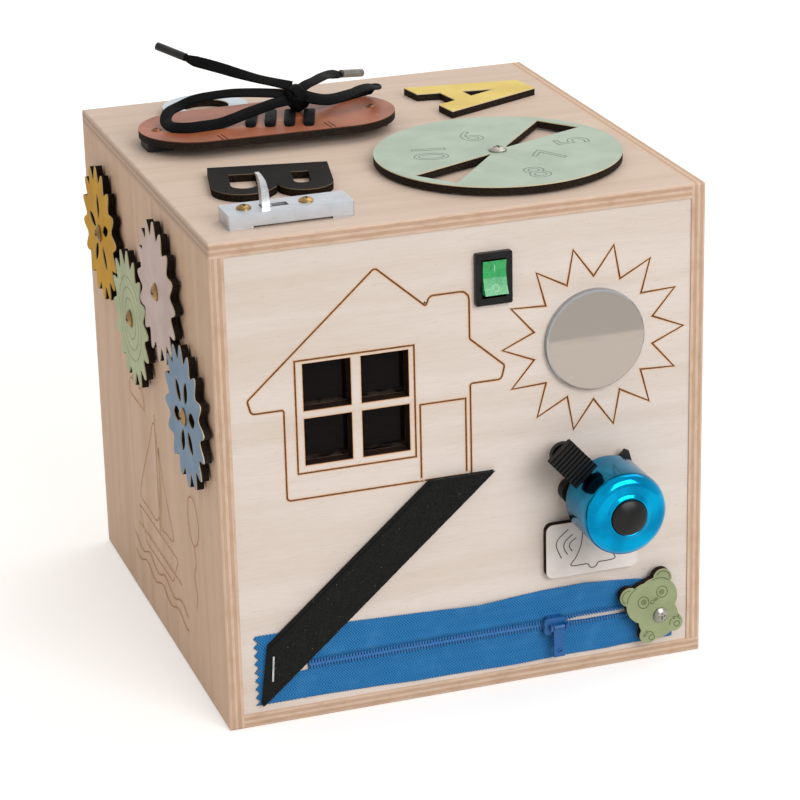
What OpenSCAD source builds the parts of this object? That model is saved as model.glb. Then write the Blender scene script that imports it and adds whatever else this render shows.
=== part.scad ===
// Activity cube: a hollow plywood box with a small toy on three of its faces.
// Millimetres. The origin is the centre of the bottom face, +Z is up and -Y is the house side.

/* [Box] */
// Outer side of the cube
cube_side = 200; // [198:1:230]
// Thickness of the six plywood panels
ply_t = 6; // [5:0.5:8]
// Radius of the sanded outer edges
edge_r = 1.2; // [0.6:0.2:2]
// How far the front panel lies behind the wall edges
front_recess = 0.6; // [0:0.2:1.6]
// Side of the square glue blocks in the back corners
block_side = 14; // [12:1:18]
// Depth of the glue blocks
block_depth = 36; // [24:1:50]
// Thickness of the painted cut-outs
cutout_t = 3.2; // [2.6:0.2:4]

/* [House] */
// Side of one square window opening
pane = 19.2; // [16:0.4:20]
// Width of the upright bar between the openings
mullion = 4; // [3:0.5:5]
// Height of the level bar between the openings
transom = 3; // [2:0.5:4]
// Centre of the window, from the middle of the panel
window_x = -44; // [-48:1:-42]
// Centre of the window above the floor
window_z = 127.4; // [124:0.2:130]
// Half width of the house wall
house_half = 37.5; // [36:0.5:40]
// Middle of the house, from the middle of the panel
house_x = -35.5; // [-38:0.5:-33]
// Height of the house base above the floor
house_base = 93.2; // [88:0.2:96]
// Height of the ridge above the floor
house_ridge = 182.4; // [176:0.2:185]
// Width of the burnt lines
groove_w = 0.7; // [0.5:0.1:1]
// Depth of the burnt lines
groove_depth = 0.5; // [0.3:0.1:1]
// Thickness of the smoked window sheet
glaze_t = 2; // [1.5:0.5:3]

/* [Sun] */
// Middle of the sun, from the middle of the panel
sun_x = 53.2; // [50:0.2:54]
// Height of the middle of the sun above the floor
sun_z = 142.2; // [138:0.2:146]
// Number of rays
sun_rays = 14; // [10:1:16]
// Radius of the ray tips
sun_tip_r = 37.9; // [34:0.1:39]
// Radius of the valleys between the rays
sun_valley_r = 25.4; // [23:0.1:27]
// Radius of the mirror
mirror_r = 20.5; // [18:0.5:22]
// Thickness of the mirror
mirror_t = 3; // [2:0.5:4]

/* [Switch] */
// Middle of the switch, from the middle of the panel
switch_x = 11.6; // [10:0.2:13]
// Height of the middle of the switch above the floor
switch_z = 172.6; // [168:0.2:176]
// Width of the bezel
bezel_w = 15; // [14:0.5:16]
// Height of the bezel
bezel_h = 21; // [20:0.5:23]
// Thickness of the bezel
bezel_t = 2; // [1.5:0.5:3]
// Depth of the housing behind the bezel
switch_depth = 14; // [12:1:20]
// Full travel of the rocker, in degrees
rocker_travel = 20; // [12:1:22]

/* [Bell] */
// Middle of the bell, from the middle of the panel
bell_x = 55.1; // [54:0.1:57]
// Height of the middle of the bell above the floor
bell_z = 78.7; // [78:0.1:82]
// Outer radius of the dome
dome_r = 17; // [16:0.5:17.5]
// Depth of the dome
dome_depth = 23.5; // [18:0.5:25]
// Wall of the dome
dome_wall = 1; // [0.8:0.1:1.4]
// Gap between the thumb lever and the rim of the dome
rim_gap = 0.6; // [0.4:0.1:1.4]
// Radius of the black cap
cap_r = 7.2; // [6:0.2:8]
// Thickness of the base plate
bell_base_t = 4.6; // [4:0.2:5]
// Direction of the thumb lever, from the sunny side round to the house side
lever_angle = 132; // [128:1:138]
// Distance of the lever pin from the bell axis
lever_pin_dist = 10.6; // [10:0.1:11]
// Thickness of the thumb lever
lever_t = 2.4; // [2:0.2:3]
// Height of the ribbed thumb pad above the panel
thumb_low = 15; // [12:0.5:17]
// Thickness of the ribbed thumb pad
thumb_t = 4; // [3:0.5:5]
// Length of the ribbed thumb pad
thumb_length = 16; // [12:0.5:18]
// Width of the ribbed thumb pad
thumb_width = 12.2; // [10:0.2:13]
// Number of ribs on the thumb pad
thumb_ribs = 9; // [6:1:10]
// Width of the plate with the bell sign
sign_w = 39.2; // [34:0.2:42]
// Height of the plate with the bell sign
sign_h = 23; // [18:0.5:23]

/* [Zip] */
// Height of the zip chain above the floor
zip_z = 23.6; // [23:0.2:25]
// Width of one tape
tape_w = 14.8; // [13:0.2:15]
// Thickness of the tape
tape_t = 0.6; // [0.4:0.1:0.7]
// Left end of the tapes
zip_left = -88; // [-92:1:-86]
// Right end of the tapes
zip_right = 87.5; // [86:0.5:92]
// Left end of the chain
chain_left = -67; // [-68:1:-60]
// Middle of the slider
slider_x = 35.2; // [20:0.2:38]
// Length of the slider
slider_l = 9.4; // [8:0.2:10]
// Length of the pull tab
pull_l = 13; // [10:0.5:15]

/* [Hook and loop strip] */
// Width of the strip
strip_w = 17.5; // [15:0.5:20]
// Thickness of each layer
strip_t = 1.2; // [0.8:0.1:1.4]
// Slope of the strip, in degrees
strip_slope = 41; // [38:1:44]
// Height of the level cut at its upper end
strip_top = 93.8; // [90:0.2:96]

/* [Bear] */
// Middle of the bear's screw, from the middle of the panel
bear_x = 80; // [79:0.2:82]
// Height of the bear's screw above the floor
bear_z = 21.6; // [21.4:0.1:22.4]
// Lean of the bear, in degrees
bear_lean = 23.5; // [0:0.5:30]
// Radius of the rounds of its head
bear_head_r = 9; // [8:0.1:9.2]
// Radius of its ears
bear_ear_r = 4; // [3.4:0.1:4.1]
// Height of the spacer that lifts the bear off the zip
bear_lift = 2.7; // [2.5:0.1:3.4]

/* [Gears] */
// Number of teeth
gear_teeth = 16; // [14:2:18]
// Radius of the tooth tips
gear_tip_r = 28.7; // [26:0.1:29]
// Radius of the tooth roots
gear_root_r = 22.3; // [20:0.1:22.5]
// Distance between neighbouring gears
gear_spacing = 53; // [52.8:0.1:53.6]
// Thickness of the gears
gear_t = 3.2; // [2.6:0.2:4]
// Height of the pink gear above the floor
gear_z = 160.8; // [160:0.2:164]
// Place of the pink gear from the middle of the side, towards the back
gear_y = -33.2; // [-34:0.2:-30]
// Thickness of the washers under what turns
washer_t = 0.8; // [0.6:0.1:1.2]

/* [Number wheel] */
// Radius of the wheel
wheel_r = 49.5; // [46:0.5:50]
// Middle of the wheel, from the middle of the top
wheel_x = 36.2; // [34:0.2:38]
// Middle of the wheel towards the back
wheel_y = -41; // [-46:0.5:-40]
// Inner reach of the two windows
sight_in = 6; // [5:0.5:10]
// Outer reach of the two windows
sight_out = 45; // [35:0.5:45]
// Opening angle of each window, in degrees
sight_angle = 25; // [15:1:25]

/* [Letters] */
// Height of the letters A and B
letter_h = 47.5; // [40:0.5:50]
// Width of their strokes
stroke = 10; // [8:0.5:11]
// Outer radius of the letter C
c_r = 18; // [15:0.5:18]

/* [Latch] */
// Length of the latch bar
latch_l = 49.2; // [47:0.2:52]
// Width of the latch bar
latch_w = 14.3; // [13:0.1:15]
// Height of the latch bar
latch_h = 6; // [5:0.5:7]
// Wall of the latch bar
latch_wall = 1.2; // [1:0.1:1.5]
// Length of the slot
slot_l = 10.8; // [9:0.2:12]
// Width of the slot
slot_w = 4.4; // [4:0.1:5]
// Height of the hook above the bar
hook_h = 12.8; // [10:0.2:15]

/* [Lacing shoe] */
// Middle of the heel circle
heel_x = -67.5; // [-70:0.5:-66]
// Radius of the heel
heel_r = 24; // [22:0.5:24]
// Middle of the toe circle
toe_x = -9; // [-12:0.5:-8]
// Radius of the toe
toe_r = 25.2; // [23:0.1:25.2]
// Middle line of the shoe towards the back
shoe_y = 30.8; // [30.8:0.2:33]
// Height of the spacers under the shoe
shoe_lift = 4; // [3.6:0.1:5]
// Radius of the lace holes
eyelet_r = 2; // [2:0.1:2.4]
// Distance between neighbouring lace holes
eyelet_pitch = 7.9; // [7:0.1:8.5]
// Distance between the two rows of lace holes
eyelet_rows = 22; // [20:0.5:23]
// Diameter of the lace where it hangs free
lace_d = 3.2; // [2.8:0.1:3.3]
// Length of the tip at each end of the lace
aglet_l = 15; // [12:1:18]

/* [Lamp] */
// Radius of the two cells in the holder
cell_r = 7.1; // [6.5:0.1:7.2]
// Length of the cells
cell_l = 50; // [44:0.5:51]
// Side of the lamp board
board_side = 34; // [30:1:38]
// Distance of the lamp board behind the window sheet
board_gap = 10; // [8:0.5:14]
// Diameter of the wires
wire_d = 1.6; // [1.2:0.1:2]

/* [Hidden] */
$fn = 48;
half = cube_side / 2;
inner = half - ply_t;
front_y = -half + front_recess;
front_in = front_y + ply_t;
// Running clearance round a shaft, gap between sliding faces, and gap kept by soft layers
fit = 0.06;
slip = 0.1;
soft_gap = 0.3;
// A cut always passes its face by this much
over = 1;

// Screws
screw_r = 2;
screw_head_r = 3.6;
screw_head_h = 1.8;
bear_head_screw_r = 3.1;
small_screw_r = 1.5;
small_head_r = 2.9;
nut_r = 3.8;
nut_t = 3;
washer_r = 5;
back_screw_r = 1.6;

// House, worked out from its wall and ridge
eave_out = 14.2;
eave_z = house_base + 37.4;
eave_tip_z = eave_z + 5.6;
chimney_w = 16;
chimney_top = 168.4;
wall_l = house_x - house_half;
wall_r = house_x + house_half;
eave_l = wall_l - eave_out;
eave_r = wall_r + eave_out;
chimney_l = wall_r - chimney_w;
chimney_foot = chimney_l - 1.5;
roof_fall = (house_ridge - eave_tip_z) / (eave_r - house_x);
door_w = 18.6;
door_h = 31.6;
door_gap = 2;
// The door's outline runs on below the house base, where it is cut off
door_run = 4;
window_w = 2 * pane + mullion;
window_h = 2 * pane + transom;
frame_gap = 3;

// Bell
bell_post_r = 4;
bell_pin_r = 1.5;
bell_hub_r = 3.2;
bell_bore = 13;
lever_h = bell_base_t + 0.4;
lever_top = lever_h + lever_t;
dome_low = lever_top + rim_gap;
dome_front = dome_low + dome_depth;
pad_gap = 1.2;
thumb_in = dome_r + pad_gap - lever_pin_dist;
stem_r = 1.6;
stem_l = 10;
spring_wire_r = 0.4;
spring_r = bell_pin_r + 0.2 + spring_wire_r;
spring_pitch = 0.95;
spring_turns = 3;
striker_at = [0.4, 5.2];
sign_x = bell_x - 3.6;
sign_z = bell_z - 23.2;

// Zip and strip
chain_t = 1.8;
chain_w = 3;
chain_right = 72;
slider_w = 7;
slider_t = 1.2;
slider_floor = tape_t + soft_gap;
slider_top = tape_t + chain_t + 2 * soft_gap;
hook_low = tape_t + slip;
loop_low = hook_low + strip_t + soft_gap;
strip_line = [-77.8, 28.2];
strip_hinge = 5;
staple_at = [-82.4, 25.6];
staple_l = 10.6;
staple_wire = 0.7;

// Gears, each placed from its neighbour and turned so that teeth meet gaps
tooth = 360 / gear_teeth;
dir_blue = 228.2;
dir_green = -29.5;
dir_yellow = 24.7;
pink_at = [gear_y, gear_z];
blue_at = pink_at + gear_spacing * [cos(dir_blue), sin(dir_blue)];
green_at = pink_at + gear_spacing * [cos(dir_green), sin(dir_green)];
yellow_at = green_at + gear_spacing * [cos(dir_yellow), sin(dir_yellow)];
gear_centres = [yellow_at, green_at, pink_at, blue_at];
pink_phase = 22;
function meshed(direction, phase) = 2 * direction + 180 - phase - tooth / 2;
blue_phase = meshed(dir_blue, pink_phase);
green_phase = meshed(dir_green, pink_phase);
yellow_phase = meshed(dir_yellow, green_phase);
gear_low = washer_t + slip;

// Top side
wheel_low = washer_t + slip;
sight_mid = [36.3, 217.3];
latch_x = -63.6;
latch_y = -81;
latch_screw_x = [-16.6, 7.8];
slot_x = -4.9;
hook_base = 3;
shoe_top = shoe_lift + cutout_t;
eyelet_lean = -18;
eyelet_first = [-47.6, 21.2];
eyelets = 4;
lace_t = 1.3;
knot_at = [-23.5, 35.5, shoe_top + 5.7];
knot_r = 4.8;
knot_wrap_r = 5.3;
knot_wrap_w = 4.4;

// Routes of the free lace, in millimetres above the top face, chosen by hand
loop_left_route = [
    [-26, 37.4, 14], [-31, 36.4, 15.4], [-37, 36, 16.4], [-44, 37, 17], [-51, 39, 17], [-58, 42, 16],
    [-65, 43, 15], [-71, 43, 13], [-77, 39, 12], [-80, 33, 10], [-79, 27, 9], [-74, 23, 9],
    [-67, 23, 9], [-60, 24, 9], [-54, 25, 10], [-48, 27, 11], [-41, 29, 12], [-34, 31, 13],
    [-27, 33, 13]
];
loop_right_route = [
    [-22, 33, 14], [-18, 28, 13], [-13, 25, 12], [-7, 26, 13], [-2, 30, 14], [3, 34, 15],
    [8, 38, 13], [12, 42, 10], [10, 45, 9], [4, 43, 9], [-3, 41, 9], [-10, 37, 10],
    [-16, 36, 12], [-21, 36, 14]
];
tail_left_route = [
    [-24.4, 38.4, 17.3], [-31, 39.6, 19.2], [-38, 42, 21], [-45, 46, 23], [-51, 49, 25], [-57, 51, 27],
    [-61, 54, 28], [-64, 58, 29]
];
tail_right_route = [
    [-21.2, 37.8, 15.8], [-17.6, 40.4, 16.8], [-13, 44, 17], [-8, 49, 17], [-4, 54, 16], [0, 58, 15],
    [4, 61, 14]
];
aglet_r = 1.7;

// Wires inside the box: holder to switch, switch to lamp, lamp to holder
wire_grip = 0.3;
holder_wall = 1.6;
holder_y = 36;
holder_w = 4 * cell_r + 3 * holder_wall;
holder_l = cell_l + 8;
holder_front = holder_y - holder_w / 2;
terminal_x = 3.6;
terminal_drop = 6;
terminal_l = 7;
terminal_h = 4.8;
terminal_y = front_y + switch_depth + terminal_l / 2;
terminal_low = switch_z - terminal_drop - terminal_h / 2;
lamp_y = front_in + glaze_t + board_gap;
board_t = 1.6;
board_back = lamp_y + board_t;
wire_a = [
    [4, holder_front + wire_grip, 14], [4, 12, 11], [5, -10, 8], [6, -60, 8], [8, -82, 18],
    [9, -86, 60], [9, -85, 150], [switch_x - terminal_x, terminal_y, terminal_low + wire_grip]
];
wire_b = [
    [switch_x + terminal_x, terminal_y, terminal_low + wire_grip], [15, -80, 156], [8, -74, 148],
    [-6, -70, 140], [-20, -71, 133], [-30, -75, 128], [-34, board_back - wire_grip, 127]
];
wire_c = [
    [-44, board_back - wire_grip, 116], [-44, -74, 114], [-43, -68, 100], [-36, -58, 50],
    [-26, -40, 14], [-16, -8, 8], [-12, 12, 11], [-12, holder_front + wire_grip, 14]
];

// Places a child on the front: X right, Y up, Z out of the panel
module on_front(x, z) {
    translate([x, front_y, z])
        rotate([90, 0, 0])
            children();
}

// Places a child on the left side as seen from outside: Z points away from the box
module on_side(y, z) {
    translate([-half, y, z])
        rotate([90, 0, -90])
            children();
}

// Places a child on the top face
module on_top(x, y) {
    translate([x, y, cube_side])
        children();
}

// A block with rounded edges, standing on the floor: three prisms that cross
module rounded_block(side, r) {
    translate([0, 0, side / 2])
        intersection() {
            linear_extrude(side, center = true)
                round_plate(side, side, r);
            rotate([90, 0, 0])
                linear_extrude(side, center = true)
                    round_plate(side, side, r);
            rotate([0, 90, 0])
                linear_extrude(side, center = true)
                    round_plate(side, side, r);
        }
}

// A panel cut from the rounded block
module wall(corner, size) {
    intersection() {
        rounded_block(cube_side, edge_r);
        translate(corner)
            cube(size);
    }
}

// A screw that points down, with a round head on top of the face at z = 0
module screw(r, head_r, head_h, length) {
    difference() {
        union() {
            translate([0, 0, -length])
                cylinder(r = r, h = length + head_h / 2);
            intersection() {
                cylinder(r = head_r, h = head_h);
                translate([0, 0, head_h - head_r * 1.5])
                    sphere(r = head_r * 1.5);
            }
        }
        for (turn = [0, 90])
            rotate(turn)
                translate([-head_r / 2, -head_r / 9, head_h * 0.45])
                    cube([head_r, head_r / 4.5, head_h]);
    }
}

// A flat ring
module ring(outer, inner_r, h) {
    difference() {
        cylinder(r = outer, h = h);
        translate([0, 0, -over])
            cylinder(r = inner_r, h = h + 2 * over);
    }
}

// A flat plate with round corners
module round_plate(w, h, r) {
    square([w - 2 * r, h], center = true);
    square([w, h - 2 * r], center = true);
    for (x = [-1, 1], y = [-1, 1])
        translate([x * (w / 2 - r), y * (h / 2 - r)])
            circle(r = r);
}

// A closed outline moved outwards by d, with its corners mitred; it runs anticlockwise
function moved(points, d) = [
    for (i = [0 : len(points) - 1])
        let (
            count = len(points),
            u = unit(points[i] - points[(i + count - 1) % count]),
            v = unit(points[(i + 1) % count] - points[i]),
            side = unit([u[1] + v[1], -u[0] - v[0]])
        )
            points[i] + side * d / (side * [u[1], -u[0]])
];

// A burnt line along a closed outline, as a flat shape
module burnt_line(points) {
    difference() {
        polygon(moved(points, groove_w / 2));
        polygon(moved(points, -groove_w / 2));
    }
}

// A closed outline whose corners [x, z, radius] are rounded
function rounded(corners, steps = 3) = [
    for (i = [0 : len(corners) - 1])
        let (
            count = len(corners),
            b = [corners[i][0], corners[i][1]],
            before = corners[(i + count - 1) % count],
            after = corners[(i + 1) % count],
            u = unit([before[0], before[1]] - b),
            v = unit([after[0], after[1]] - b),
            half_angle = acos(u * v) / 2,
            centre = b + unit(u + v) * corners[i][2] / sin(half_angle),
            reach = corners[i][2] / tan(half_angle),
            start = unit(b + u * reach - centre),
            end = unit(b + v * reach - centre)
        )
            for (k = [0 : steps])
                centre + corners[i][2] * unit(start * (steps - k) + end * k)
];

house_outline = rounded([
    [wall_l, house_base, 1.5], [wall_r, house_base, 0.5], [wall_r, eave_z, 1],
    [eave_r - 1.4, eave_z, 1.8], [eave_r, eave_tip_z, 1.4],
    [wall_r, house_ridge - (wall_r - house_x) * roof_fall, 1], [wall_r, chimney_top, 3.4],
    [chimney_l, chimney_top, 2.4],
    [chimney_foot, house_ridge - (chimney_foot - house_x) * roof_fall, 0.5],
    [house_x, house_ridge, 1.5], [eave_l, eave_tip_z, 1.4],
    [eave_l + 1.4, eave_z, 1.8], [wall_l, eave_z, 1]
]);
door_outline = [
    [wall_r - door_gap - door_w, house_base - door_run], [wall_r - door_gap, house_base - door_run],
    [wall_r - door_gap, house_base + door_h], [wall_r - door_gap - door_w, house_base + door_h]
];
frame_left = window_x - window_w / 2 - frame_gap;
frame_right = window_x + window_w / 2 + frame_gap - 0.8;
frame_foot = window_z - window_h / 2 - frame_gap;
frame_top = window_z + window_h / 2 + frame_gap - 1.6;
frame_outline = [
    [frame_left, frame_foot], [frame_right, frame_foot], [frame_right, frame_top],
    [frame_left, frame_top]
];
sun_outline = [
    for (i = [0 : 2 * sun_rays - 1])
        let (r = i % 2 == 0 ? sun_tip_r : sun_valley_r, a = i * 180 / sun_rays)
            [sun_x + r * cos(a), sun_z + r * sin(a)]
];

module top_panel() {
    color("burlywood")
        difference() {
            wall([-half, -half, cube_side - ply_t], [cube_side - ply_t, cube_side, ply_t]);
            on_top(wheel_x, wheel_y)
                translate([0, 0, -ply_t - over])
                    cylinder(r = screw_r + fit, h = ply_t + 2 * over);
            for (x = latch_screw_x)
                on_top(latch_x + x, latch_y)
                    translate([0, 0, -ply_t + 1])
                        cylinder(r = small_screw_r + fit, h = ply_t);
            for (p = shoe_screw_places)
                on_top(p[0], p[1])
                    translate([0, 0, -ply_t + 1])
                        cylinder(r = small_screw_r + fit, h = ply_t);
        }
}

module right_panel() {
    color("burlywood")
        wall([half - ply_t, -half, ply_t], [ply_t, cube_side, cube_side - ply_t]);
}

module bottom_panel() {
    color("burlywood")
        wall([-inner, -half, 0], [cube_side - ply_t, cube_side, ply_t]);
}

module left_panel() {
    color("tan")
        difference() {
            wall([-half, -half, 0], [ply_t, cube_side, cube_side - ply_t]);
            for (c = gear_centres)
                on_side(c[0], c[1])
                    translate([0, 0, -ply_t - over])
                        cylinder(r = screw_r + fit, h = ply_t + 2 * over);
        }
}

module front_panel() {
    color("antiquewhite")
        difference() {
            translate([-inner, front_y, ply_t])
                cube([2 * inner, ply_t, cube_side - 2 * ply_t]);
            for (x = [-1, 1], z = [-1, 1])
                translate([
                    window_x + x * (mullion + pane) / 2 - pane / 2, front_y - over,
                    window_z + z * (transom + pane) / 2 - pane / 2
                ])
                    cube([pane, ply_t + 2 * over, pane]);
            on_front(switch_x, switch_z)
                translate([0, 0, -ply_t - over])
                    linear_extrude(ply_t + 2 * over)
                        square([bezel_w - 2 + 2 * fit, bezel_h - 2 + 2 * fit], center = true);
            on_front(bell_x, bell_z)
                translate([0, 0, -ply_t - over])
                    cylinder(r = screw_r + fit, h = ply_t + 2 * over);
            on_front(bear_x, bear_z)
                translate([0, 0, -ply_t - over])
                    cylinder(r = screw_r + fit, h = ply_t + 2 * over);
            on_front(0, 0)
                staple_shape(slip / 2);
            on_front(0, 0)
                translate([0, 0, -groove_depth])
                    linear_extrude(groove_depth + over) {
                        burnt_line(house_outline);
                        burnt_line(frame_outline);
                        burnt_line(sun_outline);
                        difference() {
                            burnt_line(door_outline);
                            translate([wall_l, house_base - door_h])
                                square([2 * house_half, door_h]);
                        }
                    }
        }
}

back_screw_places = [
    for (x = [-1, 1], z = [-1, 1])
        [x * (inner - block_side / 2), half + z * (inner - block_side / 2)]
];

module back_panel() {
    color("burlywood")
        difference() {
            translate([-inner, half - ply_t, ply_t])
                cube([2 * inner, ply_t, cube_side - 2 * ply_t]);
            for (p = back_screw_places)
                translate([p[0], half + over, p[1]])
                    rotate([90, 0, 0])
                        cylinder(r = back_screw_r + fit, h = ply_t + 2 * over);
        }
}

module corner_blocks() {
    color("wheat")
        difference() {
            for (p = back_screw_places)
                translate([p[0], half - ply_t - block_depth / 2, p[1]])
                    cube([block_side, block_depth, block_side], center = true);
            for (p = back_screw_places)
                translate([p[0], half - ply_t + over, p[1]])
                    rotate([90, 0, 0])
                        cylinder(r = back_screw_r + fit, h = 20);
        }
}

module back_screws() {
    color("silver")
        for (p = back_screw_places)
            translate([p[0], half, p[1]])
                rotate([-90, 0, 0])
                    screw(back_screw_r, 3.2, 1.4, 22);
}

module window_sheet() {
    color("dimgray")
        translate([
            window_x - window_w / 2 - frame_gap, front_in, window_z - window_h / 2 - frame_gap
        ])
            cube([window_w + 2 * frame_gap, glaze_t, window_h + 2 * frame_gap]);
}

rocker_half_w = bezel_w / 2 - 2.8;
rocker_half_h = bezel_h / 2 - 3.9;
rocker_drop = 3;
rocker_out = 2.2;
rocker_pin_r = 0.8;
opening_half_h = rocker_half_h + 1.1;

module switch_housing() {
    color("black")
        on_front(switch_x, switch_z)
            difference() {
                union() {
                    linear_extrude(bezel_t)
                        round_plate(bezel_w, bezel_h, 0.8);
                    translate([0, 0, -switch_depth])
                        linear_extrude(switch_depth + 0.5)
                            square([bezel_w - 2, bezel_h - 2], center = true);
                }
                translate([0, 0, bezel_t - 9])
                    linear_extrude(20)
                        square([2 * rocker_half_w + 0.5, 2 * opening_half_h], center = true);
                translate([0, 0, bezel_t - rocker_drop])
                    rotate([0, 90, 0])
                        cylinder(r = rocker_pin_r + fit, h = 2 * rocker_half_w + 2.4, center = true);
            }
}

// The rocker at rest has its upper end pressed in
module switch_rocker() {
    color("mediumseagreen")
        on_front(switch_x, switch_z)
            translate([0, 0, bezel_t - rocker_drop])
                rotate([-rocker_travel / 2, 0, 0]) {
                    translate([-rocker_half_w, 0, 0])
                        rotate([90, 0, 90])
                            linear_extrude(2 * rocker_half_w)
                                polygon([
                                    [rocker_half_h, rocker_drop + rocker_out],
                                    [rocker_half_h / 2, rocker_drop + 1.15],
                                    [0, rocker_drop + 0.8],
                                    [-rocker_half_h / 2, rocker_drop + 1.15],
                                    [-rocker_half_h, rocker_drop + rocker_out],
                                    [-rocker_half_h + 0.6, 0], [-3, -4], [3, -4],
                                    [rocker_half_h - 0.6, 0]
                                ]);
                    rotate([0, 90, 0])
                        cylinder(r = rocker_pin_r, h = 2 * rocker_half_w + 2, center = true);
                }
}

module switch_terminals() {
    color("goldenrod")
        for (side = [-1, 1])
            on_front(switch_x + side * terminal_x, terminal_low)
                translate([-0.4, 0, -switch_depth - terminal_l])
                    cube([0.8, terminal_h, terminal_l]);
}

module lamp_board() {
    color("seagreen")
        difference() {
            union() {
                translate([window_x - board_side / 2, lamp_y, window_z - board_side / 2])
                    cube([board_side, board_t, board_side]);
                for (z = [-1, 1])
                    translate([window_x, lamp_y + board_t / 2, window_z + z * (window_h / 2 + 6)])
                        rotate([90, 0, 0])
                            cylinder(r = 2.5, h = lamp_y + board_t / 2 - front_in);
                translate([window_x - 3, lamp_y, window_z - window_h / 2 - 8])
                    cube([6, board_t, window_h + 16]);
            }
            for (x = [-1, 1], z = [-1, 1])
                translate([window_x + x * led_off, lamp_y - over, window_z + z * led_off])
                    rotate([-90, 0, 0])
                        cylinder(r = 0.5, h = 4);
        }
}

led_off = (pane + mullion) / 2;

module lamp_leds() {
    color("lightyellow")
        for (x = [-1, 1], z = [-1, 1])
            translate([window_x + x * led_off, lamp_y, window_z + z * led_off])
                rotate([90, 0, 0]) {
                    cylinder(r = 2.5, h = 4);
                    translate([0, 0, 4])
                        sphere(r = 2.5);
                }
}

module battery_holder() {
    color("black")
        translate([-holder_l / 2, holder_y - holder_w / 2, ply_t])
            difference() {
                cube([holder_l, holder_w, cell_r + 6]);
                for (i = [0, 1])
                    translate([
                        holder_wall, holder_wall + i * (2 * cell_r + holder_wall) - slip, holder_wall
                    ])
                        cube([holder_l - 2 * holder_wall, 2 * cell_r + 2 * slip, 30]);
            }
}

module battery_cells() {
    color("gray")
        for (i = [0, 1])
            translate([
                -cell_l / 2, holder_y + (i - 0.5) * (2 * cell_r + holder_wall),
                ply_t + holder_wall + cell_r + 0.02
            ])
                rotate([0, 90, 0]) {
                    cylinder(r = cell_r, h = cell_l - 2);
                    cylinder(r = 2.6, h = cell_l);
                }
}

module lamp_wires() {
    color("firebrick")
        for (route = [wire_a, wire_b, wire_c])
            tube(route, wire_d / 2, 8, 1);
}

module mirror_disc() {
    color("lightsteelblue")
        on_front(sun_x, sun_z)
            rotate_extrude($fn = 96)
                polygon([
                    [0, 0], [mirror_r, 0], [mirror_r, mirror_t - 0.6], [mirror_r - 0.6, mirror_t],
                    [0, mirror_t]
                ]);
}

module bell_base() {
    color("black")
        on_front(bell_x, bell_z)
            difference() {
                union() {
                    cylinder(r = 11.4, h = bell_base_t);
                    rotate(172)
                        translate([12.4, 0, 0])
                            cylinder(r = 4.8, h = bell_base_t);
                    rotate(172)
                        translate([0, -4.8, 0])
                            cube([12.4, 9.6, bell_base_t]);
                    rotate(55)
                        translate([0, 0, bell_base_t - 1.2])
                            linear_extrude(1.6)
                                polygon([
                                    [0, -5], [12, -4.8], [16.6, -3.6], [19.6, 0], [19.2, 1.6],
                                    [12, 3], [0, 4]
                                ]);
                    rotate(lever_angle)
                        translate([lever_pin_dist, 0, 0])
                            cylinder(r = 4.4, h = bell_base_t);
                    cylinder(r = bell_post_r, h = dome_front - dome_wall);
                    rotate(lever_angle)
                        translate([lever_pin_dist, 0, 0]) {
                            cylinder(r = bell_pin_r, h = pin_top);
                            translate([0, 0, pin_top])
                                cylinder(r = bell_pin_r + 0.8, h = 0.8);
                        }
                }
                translate([0, 0, -over])
                    cylinder(r = screw_r + fit, h = bell_bore + over);
                translate([0, 0, dome_front - stem_l - 2])
                    cylinder(r = stem_r + fit, h = stem_l + 2 + over);
            }
}

module bell_dome() {
    shoulder = 4.5;
    color("deepskyblue")
        on_front(bell_x, bell_z)
            translate([0, 0, dome_low])
                rotate_extrude($fn = 96)
                    difference() {
                        union() {
                            translate([stem_r + slip, 0])
                                square([dome_r - stem_r - slip, dome_depth - shoulder]);
                            translate([stem_r + slip, 0])
                                square([dome_r - shoulder - stem_r - slip, dome_depth]);
                            translate([dome_r - shoulder, dome_depth - shoulder])
                                circle(r = shoulder);
                        }
                        translate([0, -over])
                            square([dome_r - dome_wall, dome_depth - shoulder + over]);
                        translate([0, -over])
                            square([dome_r - shoulder, dome_depth - dome_wall + over]);
                        translate([dome_r - shoulder, dome_depth - shoulder])
                            circle(r = shoulder - dome_wall);
                    }
}

module bell_cap() {
    color("black")
        on_front(bell_x, bell_z)
            translate([0, 0, dome_front]) {
                intersection() {
                    cylinder(r = cap_r, h = 3);
                    translate([0, 0, 3 - cap_r * 2])
                        sphere(r = cap_r * 2, $fn = 96);
                }
                translate([0, 0, -stem_l])
                    cylinder(r = stem_r, h = stem_l + 0.5);
            }
}

module lever_place() {
    on_front(bell_x, bell_z)
        rotate(lever_angle)
            translate([lever_pin_dist, 0, 0])
                children();
}

pin_top = lever_top + slip + 2 * spring_wire_r + spring_turns * spring_pitch + slip;

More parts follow.
